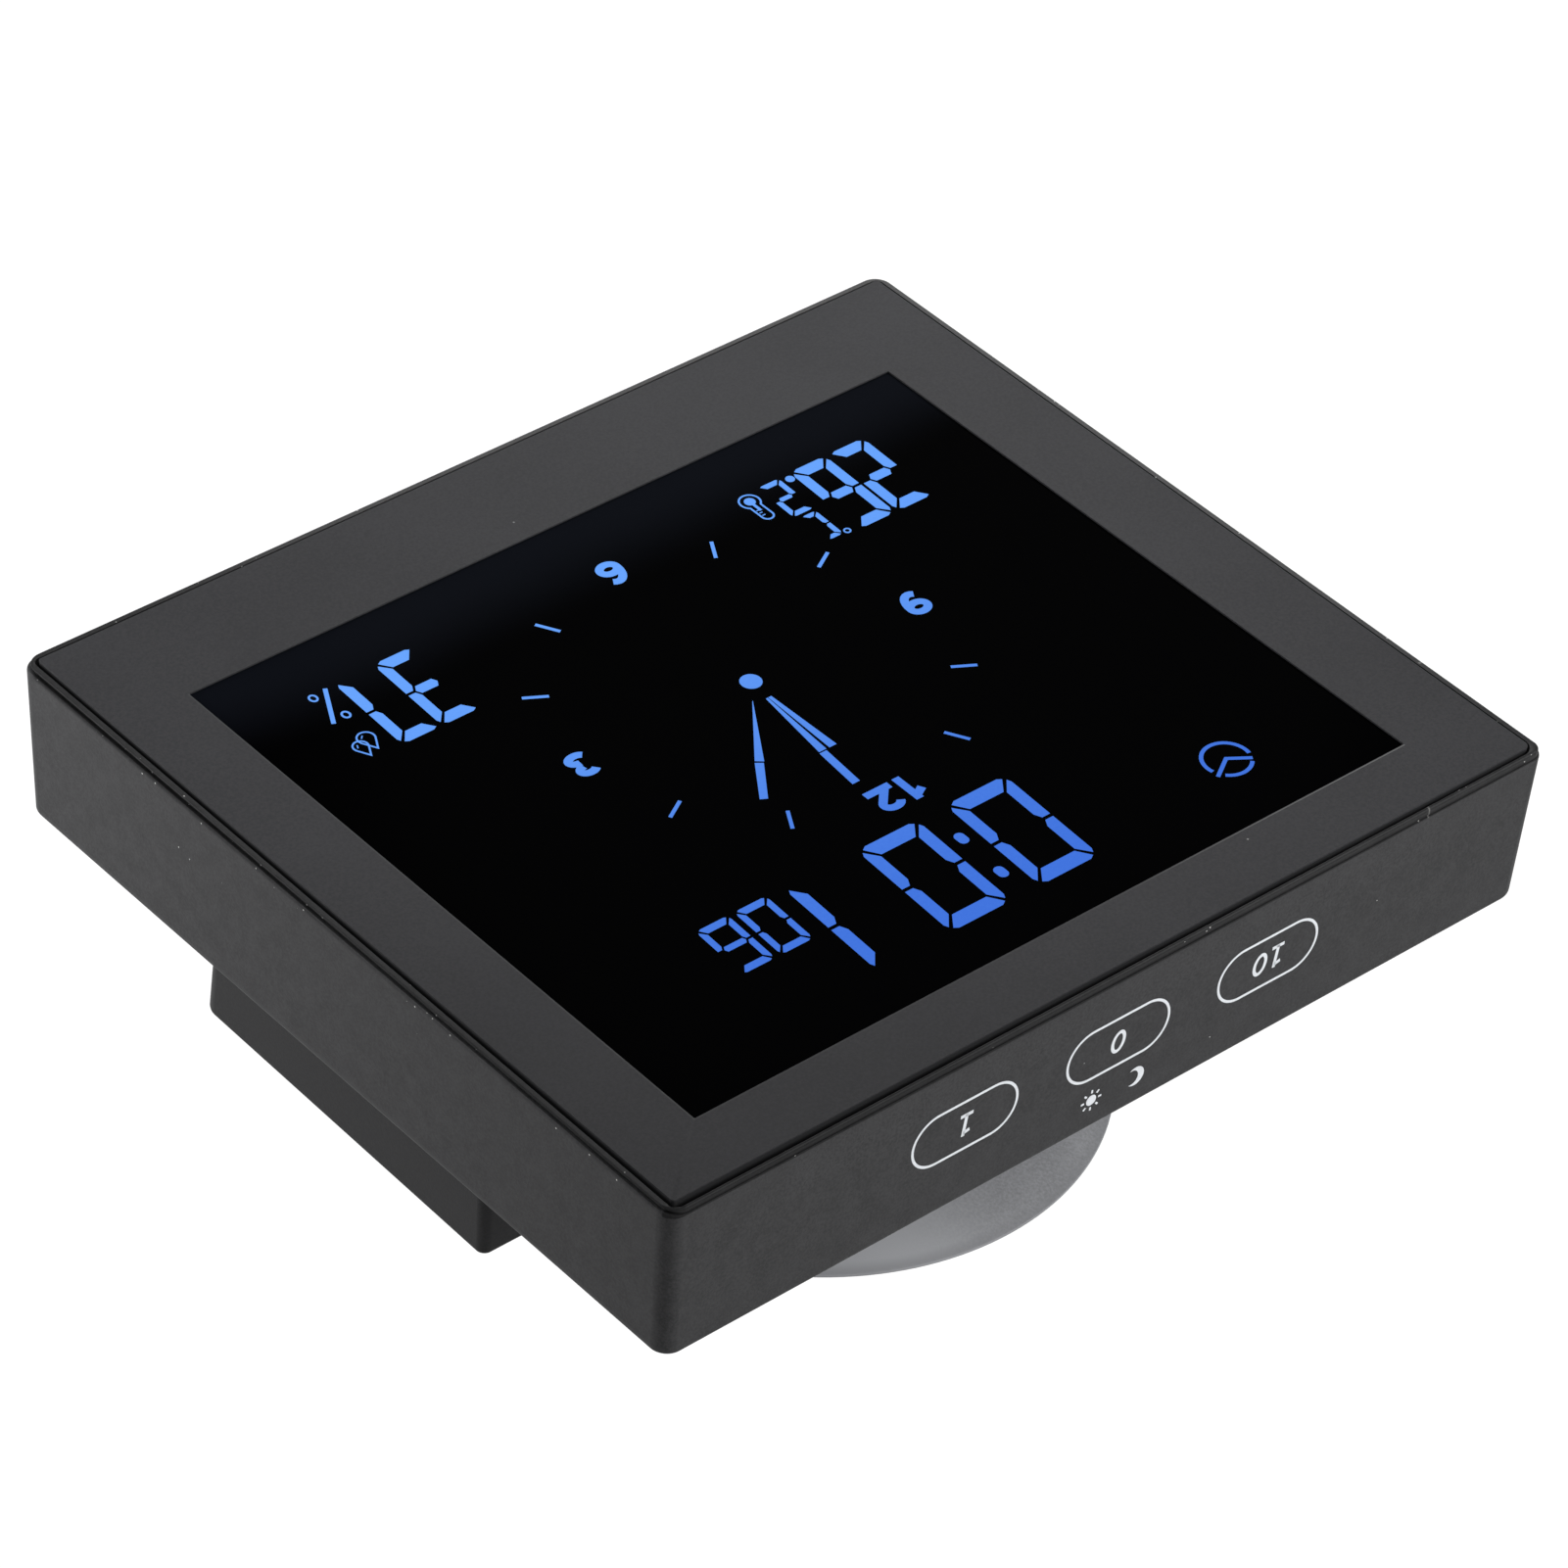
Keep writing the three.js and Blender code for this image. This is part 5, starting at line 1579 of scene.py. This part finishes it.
@dataclass
class RearCover:
    """Rear plate with the pod, its openings and the vents."""

    plate_z: Flat = (25.4, 27.4)
    face_z: float = 12.2
    inner_z: float = 14.0
    corner: float = 1.4
    pod_corner: float = 1.2
    pod_lower_corner: float = 2.6
    plate_round: float = 0.25
    root_fillet: float = 0.5
    face_round: float = 0.6
    flare: float = 0.5
    pod: Rect = Rect(-54.9, 54.9, -28.9, 20.2)
    inside: Rect = Rect(-53.2, 53.2, -25.0, 18.6)
    draft: float = 1.2
    opening: Rect = Rect(-49.9, 49.9, -29.3, -1.2)
    groove: Rect = Rect(-51.4, 51.4, -29.3, -1.2)
    slit: Rect = Rect(53.9, 56.0, -27.35, -27.0)
    cup_y: float = 7.5
    vent_place: Flat = (32.15, 26.4)

    def skin(self) -> Mesh:
        """Draws the plate and the pod as one closed form."""
        plate = Rect.of_node("cover_seal")
        low, high = self.plate_z
        rings = [raised(plate.grown(-inset).rounded(self.corner - inset), z)
                 for inset, z in ((0.0, high), *reversed(edge_steps(self.plate_round, low, 1)))]
        root = Rect(self.pod.x_low, self.pod.x_high, self.pod.y_low + self.draft, self.pod.y_high)
        rings += [self.pod_ring(root, out, z) for out, z in edge_steps(self.root_fillet, low, -1)]
        rings += [self.pod_ring(self.pod, -inset, z)
                  for inset, z in reversed(edge_steps(self.face_round, self.face_z, 1))]
        return Form().stack(rings).mesh("back_cover")

    def pod_ring(self, rect: Rect, out: float, z: float) -> list[Point]:
        """Draws one level of the pod, whose ends spread a little towards twelve o'clock."""
        outline = rect.grown(out).rounded(self.pod_corner + out, lower=self.pod_lower_corner + out)
        span = self.pod.y_high - self.pod.y_low
        return [(x + math.copysign(self.flare, x) * (y - self.pod.y_low) / span, y, z)
                for x, y in outline]

    def vents(self, x: float, length: float, count: int) -> Mesh:
        """Makes the cutters of one row of vents."""
        return SlotRowTree().made(f"vents_{count}", PALETTE.back, at=(x, *self.vent_place),
                                  Count=count, Pitch=2.6, Length=length, Width=1.2, Depth=8.0)

    def tools(self) -> list[tuple[Carve, Form | Mesh]]:
        """Lists the hollow and the openings to cut."""
        inner = self.inner_z
        cuts: list[Form | Mesh] = [
            Form().pillow(self.inside, 1.0, inner, 32.0, 0.4),
            Form().block(self.opening, 8.0, inner + 0.2),
            Form().block(self.groove, 13.05, inner + 0.2),
            Form().prism(disc(0, self.cup_y, 5.1, 64), 8.0, 17.0),
            Form().block(self.slit, 22.3, 25.35),
            self.vents(-28.2, 9.0, 5), self.vents(28.2, 6.0, 3)]
        screw_x, screw_y = Rect.of_node("case_screw_1").centre
        for sign_x, sign_y in FOUR_SIGNS:
            x, y = sign_x * screw_x, sign_y * screw_y
            cuts.append(Form().prism(disc(x, y, 1.15), 20.0, 30.0))
            cuts.append(Form().turned([(0, 24.0), (2.6, 24.0), (2.6, 25.3), (2.25, 25.65),
                                       (2.25, 26.6), (0, 26.6)], 48, x, y))
        for node in ("tray_screw_1", "tray_screw_2"):
            cuts.append(Form().prism(disc(*Rect.of_node(node).centre, 0.8), 25.6, 30.0))
        return [(Carve.CUT, cut) for cut in cuts]

    def build(self) -> None:
        """Builds and fits the cover."""
        mesh = carved(self.skin(), self.tools())
        fit("back_cover", mesh, PALETTE.back, on_clock(Slot.CASE, "rear_cover"))


@dataclass
class BatteryDoor:
    """Sliding door of the cell bay, with runners, a thumb grip and an arrow."""

    face_z: float = 12.2
    inner_z: float = 13.95
    leaf: Rect = Rect(-49.7, 49.7, -28.9, -1.4)
    runners: Rect = Rect(-51.2, 51.2, -26.2, -1.4)

    def skin(self) -> Mesh:
        """Draws the leaf on its runners."""
        leaf = Form().pillow(self.leaf, 0.3, self.face_z, self.inner_z, 0.25)
        rail = Form().pillow(self.runners, 0.3, self.inner_z - 0.7, self.inner_z, 0.1)
        grips = SlotRowTree().made("grips", PALETTE.back, at=(0.0, -20.9, self.face_z), Count=5,
                                   Pitch=1.6, Length=16.0, Width=0.8, Depth=1.0)
        arrow = Form().prism([(-3.0, -14.6), (0.0, -17.0), (3.0, -14.6), (3.0, -13.6), (0.0, -16.0),
                              (-3.0, -13.6)], self.face_z - 1, self.face_z + 0.25)
        return carved(leaf.mesh("door_leaf"),
                      [(Carve.JOIN, rail), (Carve.CUT, grips), (Carve.CUT, arrow)])

    def build(self) -> None:
        """Builds and fits the door."""
        fit("sliding_door", self.skin(), PALETTE.back,
            Fitting(Carrier.DOOR, Slot.CASE, ("battery_door",)))


@dataclass
class SuctionCup:
    """Soft cup on its neck, and the plug that holds it in the pod."""

    centre: Flat = (0.0, 7.5)
    radius: float = 33.7
    edge: float = 0.28
    seat_z: float = 14.25

    def profile(self) -> list[Flat]:
        """Draws the cup's section from the middle of its hollow round to the bore."""
        face = self.radius - 2.4
        hollow = [(face * step / 14, 2.8 * (1 - (step / 14) ** 2)) for step in range(15)]
        edge = (self.edge, self.edge)
        lip = arc(self.radius - self.edge, self.edge, edge, -90, 45, 9)
        slope = [(32.6, 0.9), (31.5, 1.3), (30.0, 1.8), (25.5, 2.9), (22.0, 3.65), (18.0, 4.6),
                 (14.0, 6.2), (12.0, 7.35), (10.2, 8.6), (9.0, 9.5), (8.55, 10.0), (8.5, 10.4),
                 (8.5, 12.0), (8.35, 12.15), (5.1, 12.15), (4.9, 12.3), (4.9, 14.1), (4.8, 14.2)]
        bore = [(2.65, 14.2), (2.65, 7.95), (0.0, 7.95)]
        return [*hollow, *lip, *slope, *bore]

    def build(self) -> None:
        """Builds and fits the cup and its plug."""
        cup = Form().turned(self.profile(), 160, *self.centre)
        fit("soft_cup", cup, PALETTE.rubber, Fitting(Carrier.CUP, Slot.CUP, ("suction_cup",)),
            math.radians(40))
        seat = self.seat_z
        plug = Form().turned([
            (0, seat - 6), (2.0, seat - 6), (2.4, seat - 5.6), (2.4, seat), (7.4, seat),
            (7.6, seat + 0.2), (7.6, seat + 1.0), (7.0, seat + 1.6), (3.2, seat + 1.6),
            (3.0, seat + 1.2), (0, seat + 1.2)], 96, *self.centre)
        fit("holding_plug", plug, PALETTE.plug, Fitting(Carrier.CUP, Slot.PLUG, ("cup_plug",)))


def node_mesh(node: str) -> Mesh:
    """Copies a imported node's mesh with its loose triangles merged."""
    mesh = bpy.data.objects[node].data.copy()
    with opened(mesh) as work:
        bmesh.ops.remove_doubles(work, verts=work.verts, dist=NODE_MERGE_MM * MM)
        bmesh.ops.dissolve_limit(work, angle_limit=math.radians(1), verts=work.verts,
                                 edges=work.edges)
        bmesh.ops.recalc_face_normals(work, faces=work.faces)
    return mesh


def softened(node: str, width: float) -> Mesh:
    """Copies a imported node's mesh and rounds its sharp edges by a width."""
    holder = held(node_mesh(node))
    bevel = holder.modifiers.new("eased_edges", "BEVEL")
    bevel.width = width * MM
    bevel.segments = 2
    bevel.limit_method = "ANGLE"
    bevel.angle_limit = math.radians(50)
    return evaluated_mesh(holder, f"{node}_soft")


def merged(name: str, meshes: Sequence[Mesh]) -> Mesh:
    """Gathers several meshes in one."""
    whole = bpy.data.meshes.new(name)
    with opened(whole) as work:
        for mesh in meshes:
            work.from_mesh(mesh)
    return whole


def levels(node: str) -> Flat:
    """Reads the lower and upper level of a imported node."""
    low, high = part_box(node)
    return low.z / MM, high.z / MM


@dataclass
class CellBay:
    """Tray with four cells in two rows, their springs, contacts and leads."""

    axis_z: float = 19.65
    radius: float = 5.25
    nub: Flat = (1.9, 1.2)
    between_rows: float = -13.0
    plus_from_nub: float = 7.0
    minus_from_end: float = 5.0
    print_lift: float = 0.02
    plate: Flat = (0.4, 4.0)
    coil_start: float = 0.62

    def run(self, node: str) -> tuple[float, float, float, int]:
        """Reads a cell's flat end, its nub's end, its line and which way along X the nub points."""
        rect = Rect.of_node(node)
        if rect.centre[1] < self.between_rows:
            return rect.x_low, rect.x_high, rect.centre[1], 1
        return rect.x_high, rect.x_low, rect.centre[1], -1

    def cell(self, node: str) -> Form:
        """Draws one cell along X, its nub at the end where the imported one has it."""
        start, end, y, way = self.run(node)
        n, nub_height = self.nub
        r, length = self.radius, abs(end - start) - nub_height
        profile = [(0, 0.35), (3.4, 0.35), (3.6, 0.15), (3.9, 0), (r - 0.5, 0), (r - 0.15, 0.15),
                   (r, 0.5), (r, length - 0.5), (r - 0.15, length - 0.15), (r - 0.5, length),
                   (r - 1.2, length), (r - 1.4, length - 0.25), (n + 0.5, length - 0.25),
                   (n + 0.1, length - 0.05), (n, length + 0.2), (n, length + nub_height - 0.3),
                   (n - 0.3, length + nub_height), (0, length + nub_height)]
        form = Form().turned(profile, 72)
        return form.bent(lambda p: (start + way * p[2], y + p[1], self.axis_z + p[0]))

    def sign(self, node: str) -> Form:
        """Draws a raised plus on the sleeve near the nub and a bar near the flat end."""
        start, end, y, way = self.run(node)
        plus, minus = end - way * self.plus_from_nub, start + way * self.minus_from_end
        flat = joined(
            Form().stroke(path, 0.6, -self.print_lift, self.print_lift)
            for path in ([(plus - 1.6, 0), (plus + 1.6, 0)], [(plus, -1.6), (plus, 1.6)],
                         [(minus, -1.4), (minus, 1.4)]))
        r = self.radius
        return flat.bent(lambda p: (p[0], y + (r + p[2]) * math.sin(p[1] / r),
                                    self.axis_z - (r + p[2]) * math.cos(p[1] / r)))

    def spring(self, node: str) -> Mesh:
        """Makes one cone spring on its plate."""
        rect, (low, high) = Rect.of_node(node), levels(node)
        y, inward = rect.centre[1], 1 if rect.centre[0] < 0 else -1
        plate_x = rect.x_low if inward > 0 else rect.x_high
        thick, half_plate = self.plate
        flat = Rect(low, high, y - half_plate, y + half_plate)
        plate = Form().pillow(flat, 0.7, *sorted((plate_x, plate_x + inward * thick)), 0.12)
        plate.bent(lambda p: (p[2], p[1], p[0]))
        coil = SpringTree().made(f"{node}_coil", PALETTE.spring, Wide=3.0, Narrow=1.6, Height=3.1,
                                 Wire=0.35)
        place = Vector((plate_x + inward * self.coil_start, y, self.axis_z)) * MM
        coil.transform(Matrix.Translation(place) @ Matrix.Rotation(inward * math.pi / 2, 4, "Y"))
        return merged(f"{node}_whole", [plate.mesh(f"{node}_plate"), coil])

    def build(self) -> None:
        """Builds and fits the bay."""
        for number in range(1, 5):
            cell, spring, contact = (
                f"cell_{number}", f"cell_spring_{number}", f"cell_contact_{number}")
            sleeve = SleevePrint(f"sleeve_{number}", (0.045, 0.06, 0.09), roughness=0.38,
                                 mottling=0.08, depth=0.004, nub_x=self.run(cell)[1])
            fit(f"power_cell_{number}", self.cell(cell), sleeve, on_clock(Slot.SLEEVE, cell))
            fit(f"cell_sign_{number}", self.sign(cell), PALETTE.white, on_clock(Slot.SLEEVE))
            fit(f"bay_spring_{number}", self.spring(spring), PALETTE.spring,
                on_clock(Slot.STEEL, spring))
            fit(f"bay_contact_{number}", softened(contact, 0.1), PALETTE.steel,
                on_clock(Slot.STEEL, contact))
        fit("cell_tray", softened("battery_tray", 0.25), PALETTE.back,
            on_clock(Slot.BLACK, "battery_tray"))
        for side, finish, slot in (("positive", PALETTE.red, Slot.RED),
                                   ("negative", PALETTE.dark, Slot.DARK)):
            node = f"battery_lead_{side}"
            fit(f"lead_{side}", node_mesh(node), finish, on_clock(slot, node), math.radians(60))


@dataclass
class Electronics:
    """Display stack, boards and their parts inside the case."""

    leg_pitch: float = 1.0

    def plain_parts(self) -> None:
        """Softens and dresses the parts whose packed form already holds."""
        for node, name, finish, slot, width in (
            ("lens_gasket", "panel_tape", PALETTE.seal, Slot.FOAM, 0.03),
            ("cover_seal", "rear_seal", PALETTE.seal, Slot.SEAL, 0.2),
            ("lcd_cell", "display_cell", PALETTE.clear, Slot.GLASS, 0.1),
            ("lcd_carrier", "display_carrier", PALETTE.white, Slot.WHITE, 0.2),
            ("zebra_strip", "connector_strip", PALETTE.zebra, Slot.SEAL, 0.1),
            ("main_board", "main_circuit", PALETTE.mask, Slot.BOARD, 0.06),
            ("key_board", "key_circuit", PALETTE.mask, Slot.BOARD, 0.06),
            *((f"key_pad_{place}", f"touch_pad_{place}", PALETTE.foam, Slot.FOAM, 0.3)
              for place in ("left", "middle", "right")),
            ("key_ribbon", "key_cable", PALETTE.ribbon, Slot.WHITE, 0.04),
            ("crystal", "clock_crystal", PALETTE.steel, Slot.STEEL, 0.2),
            ("climate_sensor", "air_sensor", PALETTE.black, Slot.BLACK, 0.1),
            ("light_guide", "edge_guide", PALETTE.guide, Slot.GUIDE, 0.12),
        ):
            fit(name, softened(node, width), finish, on_clock(slot, node))

    def guide(self) -> None:
        """Fits the light guide's dots and the two lamps."""
        dotted = Rect.of_node("light_guide").grown(-4.0)
        dots = DotFieldTree().made(
            "guide_dots", PALETTE.guide, at=(*dotted.centre, levels("light_guide")[0] - 0.02),
            Width=dotted.x_high - dotted.x_low, Height=dotted.y_high - dotted.y_low,
            Columns=32, Rows=28, Dot=0.5)
        fit("guide_dots", dots, PALETTE.guide, on_clock(Slot.GUIDE))
        for side in ("left", "right"):
            node = f"backlight_led_{side}"
            fit(f"edge_lamp_{side}", softened(node, 0.12), PALETTE.white,
                on_clock(Slot.WHITE, node))

    def chip(self) -> None:
        """Fits the controller with its legs, and small resistors near it."""
        rect, (low, high) = Rect.of_node("controller_chip"), levels("controller_chip")
        x, y = rect.centre
        body = Form().pillow(rect, 0.4, low, high, 0.18)
        notch = Form().prism(disc(rect.x_low + 1.2, rect.y_high - 1.2, 0.45), low - 1, low + 0.15)
        fit("controller", carved(body.mesh("controller_body"), [(Carve.CUT, notch)]), PALETTE.black,
            on_clock(Slot.BLACK, "controller_chip"))
        leg = joined(Form().block(Rect(*ends, -0.2, 0.2), *heights) for ends, heights in (
            ((-0.1, 0.55), (-0.75, -0.55)), ((0.4, 0.6), (-0.75, -0.05)),
            ((0.45, 1.15), (-0.14, 0.06)))).mesh("leg")
        places = []
        reach = (rect.x_high - rect.x_low) / 2
        for side in range(4):
            turn = side * math.pi / 2
            across, up = math.cos(turn), math.sin(turn)
            for step in range(8):
                along = (step - 3.5) * self.leg_pitch
                places.append(((x + reach * across - along * up, y + reach * up + along * across,
                                high), (0, 0, turn)))
        fit("controller_legs", PlacedTree().spread("controller_legs", leg, PALETTE.steel, places),
            PALETTE.steel, on_clock(Slot.STEEL))
        part = Form().block(Rect(-0.8, 0.8, -0.4, 0.4), -0.5, 0.02).mesh("small_part")
        spots = [((x - 16 + 4.0 * (n % 6) + 5.5 * (n % 6 > 2), y - 14 - 3.0 * (n // 6), high),
                  (0, 0, (n * 5 % 2) * math.pi / 2)) for n in range(18)]
        fit("small_parts", PlacedTree().spread("small_parts", part, PALETTE.black, spots),
            PALETTE.black, on_clock(Slot.BLACK))

    def round_parts(self) -> None:
        """Fits the capacitor and the buzzer as turned forms."""
        for node, name, finish, slot, hole in (
            ("capacitor", "round_capacitor", PALETTE.dark, Slot.DARK, 0.0),
            ("buzzer", "sounder", PALETTE.black, Slot.BLACK, 1.0),
        ):
            rect, (low, high) = Rect.of_node(node), levels(node)
            r = (rect.x_high - rect.x_low) / 2
            floor = low + 0.4 * bool(hole)
            profile = [(0, floor), (hole, floor), (hole + 0.05, low), (r - 0.5, low),
                       (r - 0.15, low + 0.15), (r, low + 0.5), (r, high - 0.9),
                       (r - 0.25, high - 0.75), (r - 0.25, high - 0.55), (r, high - 0.4), (r, high),
                       (0, high)]
            fit(name, Form().turned(profile, 64, *rect.centre), finish, on_clock(slot, node))

    def build(self) -> None:
        """Builds and fits the inner parts."""
        self.plain_parts()
        self.guide()
        self.chip()
        self.round_parts()


@dataclass
class Fasteners:
    """Pan-head screws with a cross recess and a cut thread."""

    pitch: float = 0.55

    def screw(self, head: float, head_height: float, shank: float, length: float) -> Mesh:
        """Makes a screw that points up, its head's seat at the origin.

        Args:
            head: Radius of the head.
            head_height: Height of the head.
            shank: Radius of the shank.
            length: Length of the shank.

        Returns:
            The mesh.
        """
        profile = [(0, -head_height), (head * 0.62, -head_height),
                   (head * 0.88, -head_height * 0.78), (head * 0.98, -head_height * 0.45),
                   (head, -0.12), (head * 0.97, 0), (shank, 0)]
        for turn in range(int((length - 0.9) / self.pitch)):
            z = 0.3 + turn * self.pitch
            profile += [(shank * 0.8, z), (shank, z + self.pitch * 0.45),
                        (shank, z + self.pitch * 0.55)]
        profile += [(shank * 0.8, length - 0.5), (shank * 0.5, length), (0, length)]
        body = Form().turned(profile, 40).mesh("screw_body")
        arm, deep = head * 0.55, -head_height * 0.4
        return carved(body, [
            (Carve.CUT, Form().block(Rect(-x, x, -y, y), -head_height - 1, deep))
            for x, y in ((arm, 0.16), (0.16, arm))])

    def build(self) -> None:
        """Builds and fits every screw."""
        for stem, name, sizes, seat, way in (
            ("case_screw", "cover_screws", (2.0, 1.1, 0.9, 6.0), 26.55, 0.0),
            ("board_screw", "circuit_screws", (1.35, 1.0, 0.7, 4.5), 36.2, 0.0),
            ("tray_screw", "bay_screws", (1.3, 0.8, 0.7, 0.0), 28.7, math.pi),
        ):
            nodes = tuple(n for n in (f"{stem}_{k}" for k in range(1, 5)) if n in bpy.data.objects)
            head, height, shank, length = sizes
            if not length:
                length = seat - levels(nodes[0])[0]
            mesh = self.screw(head, height, shank, length)
            places = [((*Rect.of_node(node).centre, seat), (way, 0.0, 0.35 + k))
                      for k, node in enumerate(nodes)]
            fit(name, PlacedTree().spread(name, mesh, PALETTE.steel, places), PALETTE.steel,
                on_clock(Slot.STEEL, *nodes))


@dataclass
class PhotoCamera:
    """Camera that matches the photograph."""

    place: Point = (0.379862, 0.412201, 0.492396)
    right: Point = (-0.761328, 0.646341, 0.051217)
    up: Point = (-0.379607, -0.50839, 0.772942)
    back: Point = (0.525623, 0.56902, 0.632406)
    lens: float = 156.132
    sensor: float = 36.0

    def build(self) -> None:
        """Adds the camera and makes it the scene's."""
        data = bpy.data.cameras.new("photo_camera")
        data.lens = self.lens
        data.sensor_width = self.sensor
        data.clip_start = 0.01
        data.clip_end = 50.0
        camera = held(data)
        axes = Matrix((self.right, self.up, self.back)).transposed()
        camera.matrix_world = Matrix.Translation(self.place) @ axes.to_4x4()
        bpy.context.scene.camera = camera


@dataclass(frozen=True)
class Lamp:
    """One soft area lamp."""

    name: str
    place: Point
    size: float
    power: float
    aim: Point = (0.0, 0.0, 0.03)


@dataclass
class Studio:
    """White floor, white surroundings and soft lamps."""

    lamps: Sequence[Lamp] = (
        Lamp("key_lamp", (-0.35, 0.6, 0.35), 0.4, 5.3),
        Lamp("side_lamp", (0.17, -0.12, 0.07), 0.08, 0.28),
        Lamp("top_lamp", (0.2, 0.2, 0.7), 0.4, 0.95),
        Lamp("far_lamp", (-0.15, -0.15, 0.2), 0.15, 0.32),
    )
    ambient: float = 0.25
    floor_size: float = 4.0
    floor_glow: float = 1.07
    floor_share: float = 0.93

    def seen(self, nodes: Nodes) -> Value:
        """Gives 1 for rays that come from the camera, a mirror or a lens."""
        path = nodes.add("ShaderNodeLightPath").outputs
        rays = (Value(nodes, path[f"Is {kind} Ray"])
                for kind in ("Camera", "Glossy", "Transmission"))
        return sum(rays).lowest(1.0)

    def world(self) -> None:
        """Makes surroundings that look white but light the object softly."""
        world = bpy.data.worlds.new("white_room")
        nodes = fresh_nodes(world)
        strength = self.ambient + (1 - self.ambient) * self.seen(nodes)
        back = nodes.add("ShaderNodeBackground", None,
                         {"Color": (1.0, 1.0, 1.0, 1.0), "Strength": strength})
        nodes.add("ShaderNodeOutputWorld", None, {"Surface": back.outputs[0]})
        bpy.context.scene.world = world

    def floor(self) -> None:
        """Lays the floor, which can't be seen from below."""
        half = self.floor_size / 2
        mesh = bpy.data.meshes.new("floor")
        corners = [(-half, -half), (half, -half), (half, half), (-half, half)]
        mesh.from_pydata(raised(corners, 0.0), [], [[0, 1, 2, 3]])
        material = bpy.data.materials.new("floor_white")
        nodes = fresh_nodes(material)
        matte = nodes.add("ShaderNodeBsdfDiffuse", None, {"Color": (0.8, 0.8, 0.8, 1.0)}).outputs[0]
        glow = nodes.add("ShaderNodeEmission", None, {"Strength": self.floor_glow}).outputs[0]
        clear = nodes.add("ShaderNodeBsdfTransparent").outputs[0]
        share = self.floor_share * self.seen(nodes)
        front = nodes.add("ShaderNodeMixShader", None, {0: share, 1: matte, 2: glow}).outputs[0]
        behind = nodes.add("ShaderNodeNewGeometry").outputs["Backfacing"]
        both = nodes.add("ShaderNodeMixShader", None, {0: behind, 1: front, 2: clear}).outputs[0]
        nodes.add("ShaderNodeOutputMaterial", None, {"Surface": both})
        mesh.materials.append(material)
        held(mesh)

    def build(self) -> None:
        """Adds the lamps, the floor and the surroundings."""
        bpy.context.scene.view_settings.view_transform = "Standard"
        self.world()
        self.floor()
        for lamp in self.lamps:
            data = bpy.data.lights.new(lamp.name, "AREA")
            data.shape = "DISK"
            data.size = lamp.size
            data.energy = lamp.power
            light = held(data)
            light.location = lamp.place
            way = Vector(lamp.place) - Vector(lamp.aim)
            light.rotation_euler = way.to_track_quat("Z", "Y").to_euler()


def main() -> None:
    """Builds every piece in order, then the camera and the studio."""
    logging.basicConfig(level=logging.INFO, format="%(name)s: %(message)s")
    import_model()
    for part in (ClockCase(), FrontPanel(), Display(), KeyPrints(), RearCover(), BatteryDoor(),
                 SuctionCup(), CellBay(), Electronics(), Fasteners(), PhotoCamera(), Studio()):
        LOG.info("building %s", type(part).__name__)
        part.build()


if __name__ == "__main__":
    main()
